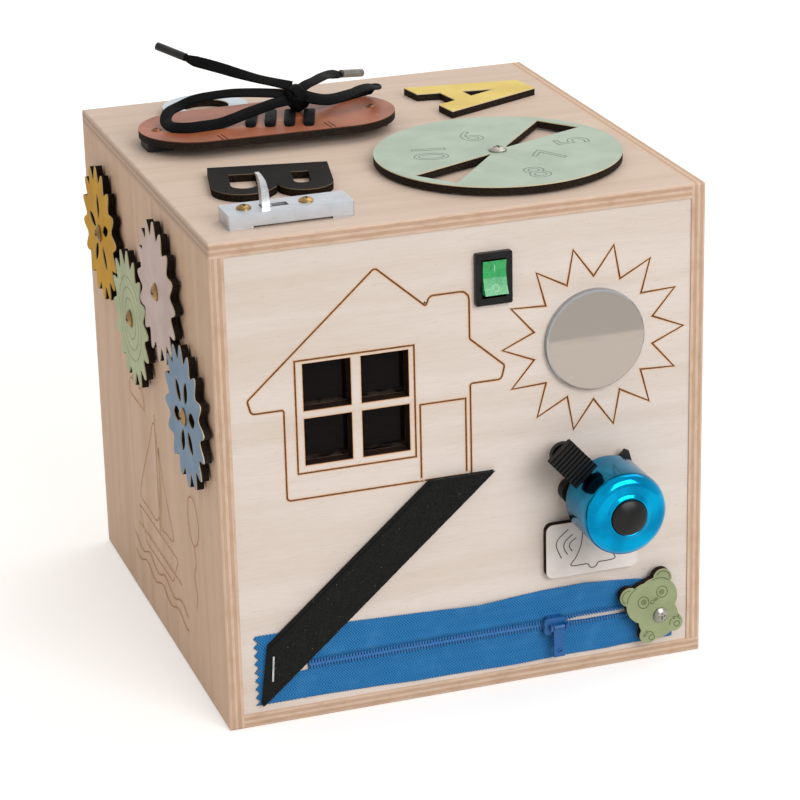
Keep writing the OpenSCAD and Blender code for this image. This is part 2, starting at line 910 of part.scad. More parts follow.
module bell_lever() {
    pitch = thumb_length / thumb_ribs;
    foot_r = 5.4;
    foot_x = thumb_in + 7.4;
    color("dimgray")
        lever_place() {
            difference() {
                union() {
                    translate([0, 0, lever_h])
                        cylinder(r = bell_hub_r, h = lever_t);
                    translate([0, -bell_hub_r, lever_h])
                        cube([foot_x, 2 * bell_hub_r, lever_t]);
                    translate([foot_x, 0, lever_h])
                        cylinder(r = foot_r, h = lever_t);
                    translate([striker_at[0] - 1.2, 0, lever_h])
                        cube([2.4, striker_at[1] + 1.2, lever_t]);
                }
                translate([0, 0, -over])
                    cylinder(r = bell_pin_r + fit, h = 20);
            }
            translate([thumb_in + 3, -3, lever_h])
                cube([4, 6, thumb_low - lever_h + 1]);
            translate([thumb_in, -thumb_width / 2 + 0.4, thumb_low])
                cube([thumb_length, thumb_width - 0.8, thumb_t - 1]);
            for (i = [0 : thumb_ribs - 1])
                translate([thumb_in + (i + 0.15) * pitch, -thumb_width / 2, thumb_low])
                    cube([pitch * 0.7, thumb_width, thumb_t]);
        }
}

module bell_striker() {
    color("silver")
        lever_place()
            translate([striker_at[0], striker_at[1], lever_top]) {
                cylinder(r = 0.7, h = 4);
                translate([0, 0, 3])
                    cylinder(r = 1.5, h = 3);
            }
}

// A coil round the lever's pin
module bell_spring() {
    turn_steps = 12;
    color("silver")
        lever_place()
            translate([0, 0, lever_top + slip + spring_wire_r])
                tube([
                    for (i = [0 : spring_turns * turn_steps])
                        let (a = i * 360 / turn_steps)
                            [spring_r * cos(a), spring_r * sin(a), i * spring_pitch / turn_steps]
                ], spring_wire_r, 6, 1);
}

module bell_sign() {
    color("linen")
        on_front(sign_x, sign_z)
            linear_extrude(cutout_t)
                round_plate(sign_w, sign_h, 3);
}

tape_top = zip_z + 0.2 + tape_w;
tape_foot = zip_z - 0.2 - tape_w;
wedge = 1;

module zip_tape_upper() {
    color("steelblue")
        on_front(0, 0)
            difference() {
                linear_extrude(tape_t)
                    polygon([
                        [zip_left, zip_z + 0.2], [slider_x, zip_z + 0.2], [slider_x + 14, zip_z + wedge],
                        [zip_right - 12, zip_z + wedge], [zip_right, zip_z + 4],
                        [zip_right - 4, tape_top - 4], [zip_right - 16, tape_top - 2],
                        [slider_x + 14, tape_top + 0.2], [slider_x - 4, tape_top - 0.4],
                        [slider_x - 30, tape_top - 2], [0, tape_top - 2], [-50, tape_top],
                        [zip_left + 1, tape_top + 0.2]
                    ]);
                zip_cuts();
            }
}

module zip_tape_lower() {
    color("steelblue")
        on_front(0, 0)
            difference() {
                linear_extrude(tape_t)
                    polygon([
                        [zip_left, zip_z - 0.2], [slider_x, zip_z - 0.2], [slider_x + 14, zip_z - wedge],
                        [zip_right - 12, zip_z - wedge], [zip_right, zip_z - 4],
                        [zip_right, tape_foot], [slider_x, tape_foot - 0.4], [0, tape_foot - 0.6],
                        [-60, tape_foot + 0.6], [zip_left + 1, tape_foot + 0.6]
                    ]);
                zip_cuts();
            }
}

// The bare spot beyond the chain, the bear's spacer and the staple
module zip_cuts() {
    translate([chain_left - 3.6, zip_z - 2.6, -over])
        cube([3.4, 4, 3]);
    translate([bear_x, bear_z, -over])
        cylinder(r = washer_r + soft_gap, h = 4);
    staple_shape(slip / 2);
}

module zip_chain() {
    color("steelblue")
        on_front(0, 0)
            translate([0, 0, tape_t])
                linear_extrude(chain_t) {
                    translate([chain_left, zip_z - chain_w / 2])
                        square([slider_x - chain_left, chain_w]);
                    for (side = [-1, 1])
                        polygon([
                            [slider_x, zip_z + side * 0.1], [slider_x, zip_z + side * chain_w / 2],
                            [slider_x + 14, zip_z + side * (wedge + 1.2)],
                            [chain_right, zip_z + side * (wedge + 1.2)],
                            [chain_right, zip_z + side * wedge], [slider_x + 14, zip_z + side * wedge]
                        ]);
                }
}

bail_h = 2.2;
bail_x = 1;
pull_w = 5;
pull_t = 0.9;

module zip_slider() {
    color("royalblue")
        on_front(slider_x, zip_z) {
            translate([0, 0, slider_top])
                linear_extrude(slider_t)
                    round_plate(slider_l, slider_w, 1.6);
            for (side = [-1, 1])
                translate([-slider_l / 2 + 1.6, side * (slider_w / 2 - 0.35) - 0.35, slider_floor])
                    cube([slider_l - 3.2, 0.7, slider_top - slider_floor + 0.5]);
            for (side = [-1, 1])
                translate([bail_x + side * (pull_w / 2 + 0.7) - 0.5, -1.2, slider_top + slider_t - 0.4])
                    cube([1, 2.4, bail_h + 0.6]);
            translate([bail_x, 0, slider_top + slider_t + bail_h / 2 + 0.2])
                rotate([0, 90, 0])
                    cylinder(r = 0.5, h = pull_w + 1.4, center = true);
        }
}

module zip_pull() {
    color("royalblue")
        on_front(slider_x + bail_x, zip_z)
            translate([0, 0, slider_top + slider_t + bail_h / 2 + 0.2])
                difference() {
                    union() {
                        rotate([0, 90, 0])
                            cylinder(r = 1.1, h = pull_w - 0.4, center = true);
                        translate([0, -pull_l / 2, 0])
                            cube([pull_w - 0.4, pull_l, pull_t], center = true);
                    }
                    rotate([0, 90, 0])
                        cylinder(r = 0.5 + fit, h = pull_w + 2, center = true);
                    translate([0, -pull_l + 3, 0])
                        cylinder(r = 1.2, h = 4, center = true);
                }
}

strip_dir = [cos(strip_slope), sin(strip_slope)];
strip_side = [-sin(strip_slope), cos(strip_slope)];

// Outline of the strip between two places along its middle line
module strip_part(from, to) {
    intersection() {
        translate(strip_line)
            rotate(strip_slope)
                translate([from, -strip_w / 2])
                    square([to - from, strip_w]);
        polygon([
            [-86.9, tape_foot + 1], [-83.4, 36], [-83.4, strip_top], [60, strip_top],
            [60, tape_foot + 1]
        ]);
    }
}

// The staple: a flat crown with two legs down into the panel
module staple_shape(grow) {
    w = staple_wire / 2 + grow;
    translate([staple_at[0], staple_at[1], 0])
        rotate(-4) {
            translate([-w, -staple_l / 2, loop_low + strip_t - grow])
                cube([2 * w, staple_l, staple_wire + 2 * grow]);
            for (side = [-1, 1])
                translate([0, side * (staple_l / 2 - staple_wire / 2), (loop_low + strip_t) / 2 - 2])
                    cube([2 * w, 2 * w, loop_low + strip_t + 4 + 2 * grow], center = true);
        }
}

module staple() {
    color("silver")
        on_front(0, 0)
            staple_shape(0);
}

module hook_strip() {
    color("black")
        on_front(0, 0)
            difference() {
                translate([0, 0, hook_low])
                    linear_extrude(strip_t)
                        strip_part(-40, 140);
                staple_shape(slip / 2);
            }
}

module loop_strip_end() {
    color("black")
        on_front(0, 0)
            difference() {
                translate([0, 0, hook_low + strip_t])
                    linear_extrude(strip_t + soft_gap)
                        strip_part(-40, strip_hinge - soft_gap);
                staple_shape(slip / 2);
            }
}

module loop_strip_flap() {
    color("black")
        on_front(0, 0)
            translate([0, 0, loop_low])
                linear_extrude(strip_t)
                    strip_part(strip_hinge, 140);
}

module bear_button() {
    middle = -0.7;
    feet = [[-7.9, -5.4], [3.8, -6.6]];
    color("darkseagreen")
        on_front(bear_x, bear_z)
            rotate(bear_lean)
                translate([0, 0, bear_lift + slip])
                    difference() {
                        linear_extrude(cutout_t) {
                            translate([middle - 0.6, -1.1])
                                circle(r = 8.6);
                            for (foot = feet)
                                translate(foot)
                                    circle(r = 3.8);
                            for (side = [-1, 1]) {
                                translate([middle + side * 2.2, 7.7])
                                    circle(r = bear_head_r);
                                translate([middle + side * 7.8, 14.4])
                                    circle(r = bear_ear_r);
                            }
                        }
                        translate([0, 0, -over])
                            cylinder(r = screw_r + fit, h = cutout_t + 2 * over);
                    }
}

// Outline of a gear: narrow teeth with round tips and wide round valleys
function gear_points(phase) = [
    for (i = [0 : gear_teeth * 12 - 1])
        let (
            a = i * 30 / gear_teeth,
            wave = (1 + cos(i * 30)) / 2,
            r = gear_root_r + (gear_tip_r - gear_root_r) * pow(wave, 1.15)
        )
            [-r * cos(a + phase), r * sin(a + phase)]
];

module gear_blank(centre, phase) {
    on_side(centre[0], centre[1])
        translate([0, 0, gear_low])
            difference() {
                linear_extrude(gear_t)
                    polygon(gear_points(phase));
                translate([0, 0, -over])
                    cylinder(r = screw_r + fit, h = gear_t + 2 * over);
                children();
            }
}

// Pointed oval holes round a gear's middle
module petal_holes(count, reach, length, width) {
    for (i = [0 : count - 1])
        rotate(i * 360 / count)
            translate([reach, 0, -over])
                linear_extrude(gear_t + 2 * over)
                    intersection() {
                        translate([0, -(length * length / width - width) / 4])
                            circle(r = (length * length / width + width) / 4);
                        translate([0, (length * length / width - width) / 4])
                            circle(r = (length * length / width + width) / 4);
                    }
}

module gear_yellow() {
    color("goldenrod")
        gear_blank(yellow_at, yellow_phase)
            rotate(20)
                petal_holes(5, 11.6, 11.5, 4.6);
}

module gear_green() {
    color("darkseagreen")
        gear_blank(green_at, green_phase)
            for (r = [8.5, 13, 17.5])
                translate([0, 0, gear_t - 0.3])
                    ring(r + 0.25, r - 0.25, 1);
}

module gear_pink() {
    color("rosybrown")
        gear_blank(pink_at, pink_phase);
}

module gear_blue() {
    color("lightslategray")
        gear_blank(blue_at, blue_phase)
            rotate(12)
                petal_holes(6, 11.3, 10.5, 6);
}

module gear_screws() {
    color("darkgoldenrod")
        for (c = gear_centres)
            on_side(c[0], c[1])
                translate([0, 0, gear_low + gear_t + slip])
                    screw(screw_r, screw_head_r, screw_head_h, ply_t + gear_t + washer_t + 4);
}

module number_wheel() {
    color("honeydew")
        on_top(wheel_x, wheel_y)
            translate([0, 0, wheel_low])
                difference() {
                    cylinder(r = wheel_r, h = cutout_t, $fn = 160);
                    translate([0, 0, -over])
                        cylinder(r = screw_r + fit, h = cutout_t + 2 * over);
                    for (a = sight_mid)
                        rotate(a)
                            translate([0, 0, -over])
                                linear_extrude(cutout_t + 2 * over)
                                    polygon([
                                        [sight_in, -sight_in * tan(sight_angle / 2) * 0.4],
                                        [sight_out, -sight_out * tan(sight_angle / 2)],
                                        [sight_out, sight_out * tan(sight_angle / 2)],
                                        [sight_in, sight_in * tan(sight_angle / 2) * 0.4]
                                    ]);
                }
}

module pivot_screws() {
    color("silver") {
        on_top(wheel_x, wheel_y)
            translate([0, 0, wheel_low + cutout_t + slip])
                screw(screw_r, screw_head_r, screw_head_h, ply_t + cutout_t + washer_t + 4);
        on_front(bear_x, bear_z)
            translate([0, 0, bear_lift + cutout_t + 2 * slip])
                screw(screw_r, bear_head_screw_r, screw_head_h, ply_t + cutout_t + bear_lift + 4);
        on_front(bell_x, bell_z)
            translate([0, 0, -ply_t])
                rotate([180, 0, 0])
                    screw(screw_r, screw_head_r, screw_head_h, ply_t + bell_bore - 2);
    }
}

module pivot_washers() {
    color("black") {
        for (c = gear_centres)
            on_side(c[0], c[1])
                ring(washer_r, screw_r + fit, washer_t);
        on_top(wheel_x, wheel_y)
            ring(washer_r, screw_r + fit, washer_t);
        on_front(bear_x, bear_z)
            ring(washer_r, screw_r + fit, bear_lift);
    }
}

module pivot_nuts() {
    color("silver") {
        for (c = gear_centres)
            on_side(c[0], c[1])
                translate([0, 0, -ply_t - nut_t])
                    ring(nut_r, screw_r + fit, nut_t);
        on_top(wheel_x, wheel_y)
            translate([0, 0, -ply_t - nut_t])
                ring(nut_r, screw_r + fit, nut_t);
        on_front(bear_x, bear_z)
            translate([0, 0, -ply_t - nut_t])
                ring(nut_r, screw_r + fit, nut_t);
    }
}

module letter_a() {
    top_half = 7.8;
    foot_half = letter_h * 0.46;
    bar = letter_h * 0.2;
    lean = (foot_half - top_half) / letter_h;
    color("khaki")
        on_top(60.6, 48.6)
            rotate(-81.5)
                translate([0, -letter_h / 2, 0])
                    linear_extrude(cutout_t)
                        difference() {
                            polygon([
                                [-foot_half, 0], [-top_half, letter_h], [top_half, letter_h],
                                [foot_half, 0], [foot_half - stroke - 2, 0],
                                [foot_half - stroke - 2 - bar * lean, bar],
                                [-foot_half + stroke + 2 + bar * lean, bar],
                                [-foot_half + stroke + 2, 0]
                            ]);
                            polygon([
                                [-foot_half + stroke + 2 + (bar + 9) * lean, bar + 9],
                                [foot_half - stroke - 2 - (bar + 9) * lean, bar + 9],
                                [0, letter_h - stroke - 5]
                            ]);
                        }
}

module letter_b() {
    low_h = letter_h * 0.54;
    high_h = letter_h - low_h;
    width = letter_h * 0.8;
    color("dimgray")
        on_top(-53.2, -20.6)
            rotate(-102)
                translate([0, -letter_h / 2, 0])
                    linear_extrude(cutout_t)
                        difference() {
                            union() {
                                square([width - low_h / 2, letter_h]);
                                translate([width - low_h / 2, low_h / 2])
                                    circle(d = low_h);
                                translate([width * 0.94 - high_h / 2, low_h + high_h / 2])
                                    circle(d = high_h);
                            }
                            translate([width - low_h / 2 + 0.4, low_h])
                                polygon([[3, 0], [30, 18], [30, -18]]);
                            b_hole(width - low_h / 2, low_h / 2, low_h - 1.5 * stroke);
                            b_hole(width * 0.9 - high_h / 2, low_h + high_h / 2 - 1, high_h - 1.5 * stroke);
                        }
}

// A hole with one flat and one round end
module b_hole(x, y, high) {
    translate([stroke * 1.1, y - high / 2])
        square([x - stroke * 1.1, high]);
    translate([x, y])
        circle(d = high);
}

module letter_c() {
    color("lightsteelblue")
        on_top(-52.5, 74)
            rotate(-90)
                linear_extrude(cutout_t)
                    difference() {
                        circle(r = c_r);
                        circle(r = c_r - stroke * 0.8);
                        polygon([[0, 0], [40, -26], [40, 26]]);
                    }
}

module latch_body() {
    in_l = latch_l - 2 * latch_wall;
    in_w = latch_w - 2 * latch_wall;
    color("silver")
        on_top(latch_x, latch_y)
            difference() {
                linear_extrude(latch_h)
                    round_plate(latch_l, latch_w, 0.6);
                translate([-in_l / 2, -in_w / 2, -over])
                    cube([in_l, in_w, latch_h - latch_wall + over]);
                translate([slot_x - slot_l / 2, -slot_w / 2, 0])
                    cube([slot_l, slot_w, latch_h + over]);
                for (x = latch_screw_x)
                    translate([x, 0, 0])
                        cylinder(r = small_screw_r + fit, h = latch_h + over);
                translate([-15, -latch_w / 2 - over, -over])
                    cube([31, latch_wall + 2 * over, over + 0.9]);
            }
}

// The horn leans towards the end that it hooks on
module latch_hook() {
    x0 = slot_x - slot_l / 2 + 0.4;
    color("lightgray")
        on_top(latch_x + x0, latch_y) {
            translate([-2, -slot_w / 2 - 1, 0.8])
                cube([hook_base + 4, slot_w + 2, latch_h - latch_wall - 0.8 - 2 * slip]);
            rotate([90, 0, 0])
                translate([0, 0, -(slot_w - 0.6) / 2])
                    linear_extrude(slot_w - 0.6)
                        polygon([
                            [0, 2], [hook_base, 2], [hook_base, latch_h + 3],
                            [hook_base - 0.3, latch_h + hook_h * 0.5],
                            [hook_base - 1.2, latch_h + hook_h * 0.78],
                            [hook_base - 2.8, latch_h + hook_h], [hook_base - 4.4, latch_h + hook_h],
                            [-0.7, latch_h + hook_h * 0.8], [-0.2, latch_h + hook_h * 0.5],
                            [0, latch_h + 3]
                        ]);
        }
}

module latch_screws() {
    color("goldenrod")
        for (x = latch_screw_x)
            on_top(latch_x + x, latch_y)
                translate([0, 0, latch_h])
                    screw(small_screw_r, small_head_r, 1.5, latch_h + ply_t - 2);
}

shoe_screw_places = [[heel_x - 17, shoe_y + 0.6], [toe_x + 16, shoe_y]];

// Flat outline of the shoe: heel and toe circles, and straight sides that start just inside them
module shoe_outline() {
    span = toe_x - heel_x;
    tilt = asin((toe_r - heel_r) / span);
    translate([heel_x, shoe_y])
        circle(r = heel_r, $fn = 96);
    translate([toe_x, shoe_y])
        circle(r = toe_r, $fn = 96);
    polygon([
        for (side = [-1, 1])
            for (end = side < 0 ? [0, 1] : [1, 0])
                let (r = (end == 0 ? heel_r : toe_r) * 0.998, x = end == 0 ? heel_x : toe_x)
                    [x - r * sin(tilt), shoe_y + side * r * cos(tilt)]
    ]);
}

eyelet_row_dir = [cos(eyelet_lean), sin(eyelet_lean)];
eyelet_cross_dir = [-sin(eyelet_lean), cos(eyelet_lean)];
function eyelet(i, row) =
    eyelet_first + i * eyelet_pitch * eyelet_row_dir + row * eyelet_rows * eyelet_cross_dir;

module shoe_plate() {
    color("sienna")
        difference() {
            on_top(0, 0)
                translate([0, 0, shoe_lift])
                    linear_extrude(cutout_t)
                        shoe_outline();
            for (i = [0 : eyelets - 1], row = [0, 1])
                on_top(eyelet(i, row)[0], eyelet(i, row)[1])
                    cylinder(r = eyelet_r, h = shoe_top + over);
            for (p = shoe_screw_places)
                on_top(p[0], p[1])
                    cylinder(r = small_screw_r + fit, h = shoe_top + over);
            for (line = [[-18, 11], [-16, 11.4], [-63.4, 9.6], [-61.6, 10.4]])
                on_top(line[0], line[1])
                    rotate(4)
                        translate([-0.25, -4.6, shoe_top - 0.4])
                            cube([0.5, 9.2, 1]);
        }
}

module shoe_spacers() {
    color("black")
        for (p = shoe_screw_places)
            on_top(p[0], p[1])
                difference() {
                    linear_extrude(shoe_lift)
                        round_plate(11, 14, 2);
                    translate([0, 0, -over])
                        cylinder(r = small_screw_r + fit, h = shoe_lift + 2 * over);
                }
}

module shoe_screws() {
    color("peru")
        for (p = shoe_screw_places)
            on_top(p[0], p[1])
                translate([0, 0, shoe_top])
                    screw(small_screw_r, 2.2, 0.9, shoe_top + ply_t - 2);
}

// The lace held by the shoe: bands over the plate, legs through the holes and runs below
module lace_crossings() {
    band_w = 5.4;
    leg_r = eyelet_r - 0.2;
    color("black")
        for (i = [0 : eyelets - 1]) {
            lace_run(eyelet(i, 0), eyelet(i, 1), shoe_top + slip, band_w);
            for (row = [0, 1])
                on_top(eyelet(i, row)[0], eyelet(i, row)[1])
                    translate([0, 0, shoe_lift - 0.4 - lace_t])
                        cylinder(r = leg_r, h = cutout_t + 2 * lace_t + 0.4 + slip);
            if (i < eyelets - 1)
                lace_run(eyelet(i, 1), eyelet(i + 1, 0), shoe_lift - 0.4 - lace_t, 3.4);
        }
    color("black")
        on_top(knot_at[0], knot_at[1])
            translate([0, 0, knot_at[2]]) {
                sphere(r = knot_r);
                rotate([0, 72, 20])
                    cylinder(r = knot_wrap_r, h = knot_wrap_w, center = true);
            }
}

module lace_run(a, b, low, w) {
    on_top(a[0], a[1])
        rotate(atan2(b[1] - a[1], b[0] - a[0]))
            translate([0, -w / 2, low])
                cube([norm(b - a), w, lace_t]);
}

module lace_loop_left() {
    color("black")
        translate([0, 0, cube_side])
            tube(loop_left_route, lace_d / 2, 8, 1);
}

module lace_loop_right() {
    color("black")
        translate([0, 0, cube_side])
            tube(loop_right_route, lace_d / 2, 8, 1);
}

module lace_tail_left() {
    color("black")
        translate([0, 0, cube_side])
            tube(tail_left_route, lace_d / 2, 8, 1);
}

module lace_tail_right() {
    color("black")
        translate([0, 0, cube_side])
            tube(tail_right_route, lace_d / 2, 8, 1);
}

// The tip that runs on from the end of a route
module aglet(route) {
    end = route[len(route) - 1];
    along = unit(end - route[len(route) - 2]);
    color("gray")
        translate([0, 0, cube_side])
            translate(end)
                rotate([0, acos(along[2]), atan2(along[1], along[0])])
                    cylinder(r = aglet_r, h = aglet_l);
}

module lace_aglet_left() {
    aglet(tail_left_route);
}

module lace_aglet_right() {
    aglet(tail_right_route);
}

// A point on the smooth curve through p, from point i onwards by the share t
function smooth_point(p, i, t) =
    let (
        last = len(p) - 1,
        a = p[max(i - 1, 0)],
        b = p[i],
        c = p[min(i + 1, last)],
        d = p[min(i + 2, last)]
    )
        0.5 * (2 * b + t * (c - a) + t * t * (2 * a - 5 * b + 4 * c - d)
            + t * t * t * (3 * b - a - 3 * c + d));

// The curve's points, with so many steps between two of the route's points
function smooth_route(p, steps) = [
    for (i = [0 : len(p) - 2], s = [0 : steps - 1])
        smooth_point(p, i, s / steps),
    p[len(p) - 1]
];

function unit(v) = v / norm(v);

// One ring of a tube, square to the way that the route runs there
function tube_ring(q, i, r, sides) =
    let (
        last = len(q) - 1,
        along = unit(q[min(i + 1, last)] - q[max(i - 1, 0)]),
        across = unit(cross(abs(along[2]) > 0.9 ? [1, 0, 0] : [0, 0, 1], along)),
        other = cross(along, across)
    )
        [for (k = [0 : sides - 1]) q[i] + r * (cos(k * 360 / sides) * across + sin(k * 360 / sides) * other)];

// A solid tube along a route
module tube(route, r, sides, steps) {
    q = smooth_route(route, steps);
    n = len(q);
    points = [for (i = [0 : n - 1]) each tube_ring(q, i, r, sides)];
    walls = [
        for (i = [0 : n - 2], k = [0 : sides - 1])
            let (a = i * sides + k, b = i * sides + (k + 1) % sides)
                each [[a, b, b + sides], [a, b + sides, a + sides]]
    ];
    first = [for (k = [1 : sides - 2]) [0, k + 1, k]];
    end = (n - 1) * sides;
    last = [for (k = [1 : sides - 2]) [end, end + k, end + k + 1]];
    polyhedron(points, [for (f = concat(walls, first, last)) [f[0], f[2], f[1]]]);
}

top_panel();
right_panel();
bottom_panel();
left_panel();
front_panel();
back_panel();
corner_blocks();
back_screws();
window_sheet();
switch_housing();
switch_rocker();
switch_terminals();
lamp_board();
lamp_leds();
battery_holder();
battery_cells();
lamp_wires();
mirror_disc();
bell_base();
bell_dome();
bell_cap();
bell_lever();
bell_striker();
bell_spring();
bell_sign();
zip_tape_upper();
zip_tape_lower();
zip_chain();
zip_slider();
zip_pull();
staple();
hook_strip();
loop_strip_end();
loop_strip_flap();
bear_button();
gear_yellow();
gear_green();
gear_pink();
gear_blue();
gear_screws();
number_wheel();
pivot_screws();
pivot_washers();
pivot_nuts();
letter_a();
letter_b();
letter_c();
latch_body();
latch_hook();
latch_screws();
shoe_plate();
shoe_spacers();
shoe_screws();
lace_crossings();
lace_loop_left();
lace_loop_right();
lace_tail_left();
lace_tail_right();
lace_aglet_left();
lace_aglet_right();
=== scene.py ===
"""Activity cube: camera, light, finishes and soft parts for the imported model.

Lengths in the classes are millimetres; a Face turns them into metres in the model's frame.
"""

import logging
import math
from dataclasses import dataclass, field
from enum import Enum
from typing import Callable

import bpy
import numpy as np
from mathutils import Matrix


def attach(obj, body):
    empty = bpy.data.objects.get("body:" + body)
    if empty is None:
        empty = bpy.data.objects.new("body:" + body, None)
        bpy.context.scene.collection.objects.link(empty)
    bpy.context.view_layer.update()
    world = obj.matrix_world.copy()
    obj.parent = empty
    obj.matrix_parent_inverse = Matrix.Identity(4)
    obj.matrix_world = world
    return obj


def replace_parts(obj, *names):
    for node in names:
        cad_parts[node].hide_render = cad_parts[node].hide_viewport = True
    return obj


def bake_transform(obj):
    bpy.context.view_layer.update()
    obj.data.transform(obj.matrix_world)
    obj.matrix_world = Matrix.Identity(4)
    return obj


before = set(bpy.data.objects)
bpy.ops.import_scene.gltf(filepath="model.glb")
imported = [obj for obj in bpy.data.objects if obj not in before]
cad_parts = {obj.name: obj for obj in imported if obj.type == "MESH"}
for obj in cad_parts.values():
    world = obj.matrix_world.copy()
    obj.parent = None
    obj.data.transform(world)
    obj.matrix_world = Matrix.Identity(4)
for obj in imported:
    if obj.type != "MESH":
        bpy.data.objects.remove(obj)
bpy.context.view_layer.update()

LOG = logging.getLogger("activity_cube")
MM = 0.001
SIDE = 200.0
CUTOUT = 3.2
Place = Callable[[np.ndarray], np.ndarray]
Triple = tuple[float, float, float]


class Face(Enum):
    """A side that carries toys: its origin in mm, then its right, up and outward directions."""

    FRONT = ((0, -99.4, 0), (1, 0, 0), (0, 0, 1), (0, -1, 0))
    LEFT = ((-100, 0, 0), (0, -1, 0), (0, 0, 1), (-1, 0, 0))
    TOP = ((0, 0, 200), (1, 0, 0), (0, 1, 0), (0, 0, 1))

    def place(self, points: np.ndarray) -> np.ndarray:
        """Turns (right, up, out) in mm into metres in the frame."""
        origin, right, up, out = (np.array(v, float) for v in self.value)
        return (origin + points @ np.stack([right, up, out])) * MM

    @property
    def out(self) -> Triple:
        """The outward direction."""
        return self.value[3]

    @property
    def level(self) -> float:
        """How far the side lies from the frame's origin along its outward direction, in mm."""
        return float(np.dot(self.value[0], self.value[3]))


# Curves and surfaces as whole arrays


def unit(v: np.ndarray) -> np.ndarray:
    """Vectors along the last axis, at length one."""
    return v / np.maximum(np.linalg.norm(v, axis=-1, keepdims=True), 1e-12)


def smooth(route: np.ndarray, steps: int, closed: bool = False) -> np.ndarray:
    """Carries a curve through points.

    Between points b and c, with a before and d after them, the curve is half of
    2b + t(c - a) + t^2(2a - 5b + 4c - d) + t^3(3b - a - 3c + d), for t from 0 to 1.

    Args:
        route: Points, one a row.
        steps: Samples between two of them.
        closed: Whether the last point runs on to the first.

    Returns:
        The curve's points.
    """
    count = len(route)
    i = np.arange(count if closed else count - 1)
    pick = (lambda k: route[k % count]) if closed else (lambda k: route[np.clip(k, 0, count - 1)])
    a, b, c, d = (pick(i + k)[:, None] for k in (-1, 0, 1, 2))
    t = (np.arange(steps) / steps)[None, :, None]
    curve = 0.5 * (
        2 * b + t * (c - a) + t**2 * (2 * a - 5 * b + 4 * c - d) + t**3 * (3 * b - a - 3 * c + d)
    )
    curve = curve.reshape(-1, route.shape[1])
    return curve if closed else np.vstack([curve, route[-1:]])


def rounded(corners: np.ndarray, steps: int) -> np.ndarray:
    """Rounds a closed outline's corners (right, up, radius).

    Each arc's centre lies on the corner's bisector, radius / sin(half angle) from the corner,
    and the arc swings between the two points where the circle touches the sides.

    Args:
        corners: Rows of (right, up, radius).
        steps: Parts of each arc.

    Returns:
        The outline's points.
    """
    b, r = corners[:, :2], corners[:, 2:]
    u = unit(np.roll(b, 1, 0) - b)
    v = unit(np.roll(b, -1, 0) - b)
    half = np.arccos(np.clip((u * v).sum(1, keepdims=True), -1, 1)) / 2
    centre = b + unit(u + v) * r / np.sin(half)
    reach = r / np.tan(half)
    start, end = b + u * reach - centre, b + v * reach - centre
    t = np.linspace(0, 1, steps + 1)[None, :, None]
    arc = unit(start[:, None] * (1 - t) + end[:, None] * t) * r[:, None]
    return (centre[:, None] + arc).reshape(-1, 2)


def circle(x: float, y: float, r: float, count: int, squash: float = 1.0) -> np.ndarray:
    """Points (x + r cos a, y + squash r sin a) round a circle or an oval."""
    a = np.arange(count) * 2 * np.pi / count
    return np.stack([x + r * np.cos(a), y + squash * r * np.sin(a)], -1)


def arc(x: float, y: float, r: float, start: float, end: float, count: int = 20) -> np.ndarray:
    """Points on a circle round (x, y) from angle start to end, in degrees."""
    a = np.radians(np.linspace(start, end, count))
    return np.stack([x + r * np.cos(a), y + r * np.sin(a)], -1)


def turned(points: np.ndarray, degrees: float) -> np.ndarray:
    """Flat points turned anticlockwise round the origin."""
    a = math.radians(degrees)
    return points @ np.array([[math.cos(a), math.sin(a)], [-math.sin(a), math.cos(a)]])


def grid_faces(rows: int, columns: int, wrap_rows: bool = False, wrap_columns: bool = False) -> np.ndarray:
    """Quads between the neighbours of a grid whose point (i, j) has number i * columns + j.

    Args:
        rows: Its rows.
        columns: Its columns.
        wrap_rows: Whether the last row meets the first.
        wrap_columns: Whether the last column meets the first.

    Returns:
        Four point numbers a row.
    """
    i, j = np.meshgrid(
        np.arange(rows if wrap_rows else rows - 1),
        np.arange(columns if wrap_columns else columns - 1),
        indexing="ij",
    )
    i, j = i.ravel(), j.ravel()
    k, m = (i + 1) % rows, (j + 1) % columns
    return np.stack([i * columns + j, k * columns + j, k * columns + m, i * columns + m], -1)


def strip(line: np.ndarray, offsets: np.ndarray, closed: bool) -> np.ndarray:
    """Carries offsets along a flat line.

    Point (i, j) is line i plus offset j times the line's mitred left-hand normal, which is the
    sum of its two sides' normals, stretched to keep the width and held under 1.7 times it.

    Args:
        line: Flat points.
        offsets: Distances to the left of the line.
        closed: Whether the last point runs on to the first.

    Returns:
        The strip's points, as (i, j, 2).
    """
    before = line - np.roll(line, 1, 0)
    after = np.roll(line, -1, 0) - line
    if not closed:
        before[0], after[-1] = after[0], before[-1]
    before, after = unit(before), unit(after)
    normal = unit(np.stack([-(before + after)[:, 1], (before + after)[:, 0]], -1))
    side = np.stack([-before[:, 1], before[:, 0]], -1)
    stretch = np.minimum(1 / np.maximum((normal * side).sum(1, keepdims=True), 0.2), 1.7)
    return line[:, None] + (normal * stretch)[:, None] * offsets[None, :, None]


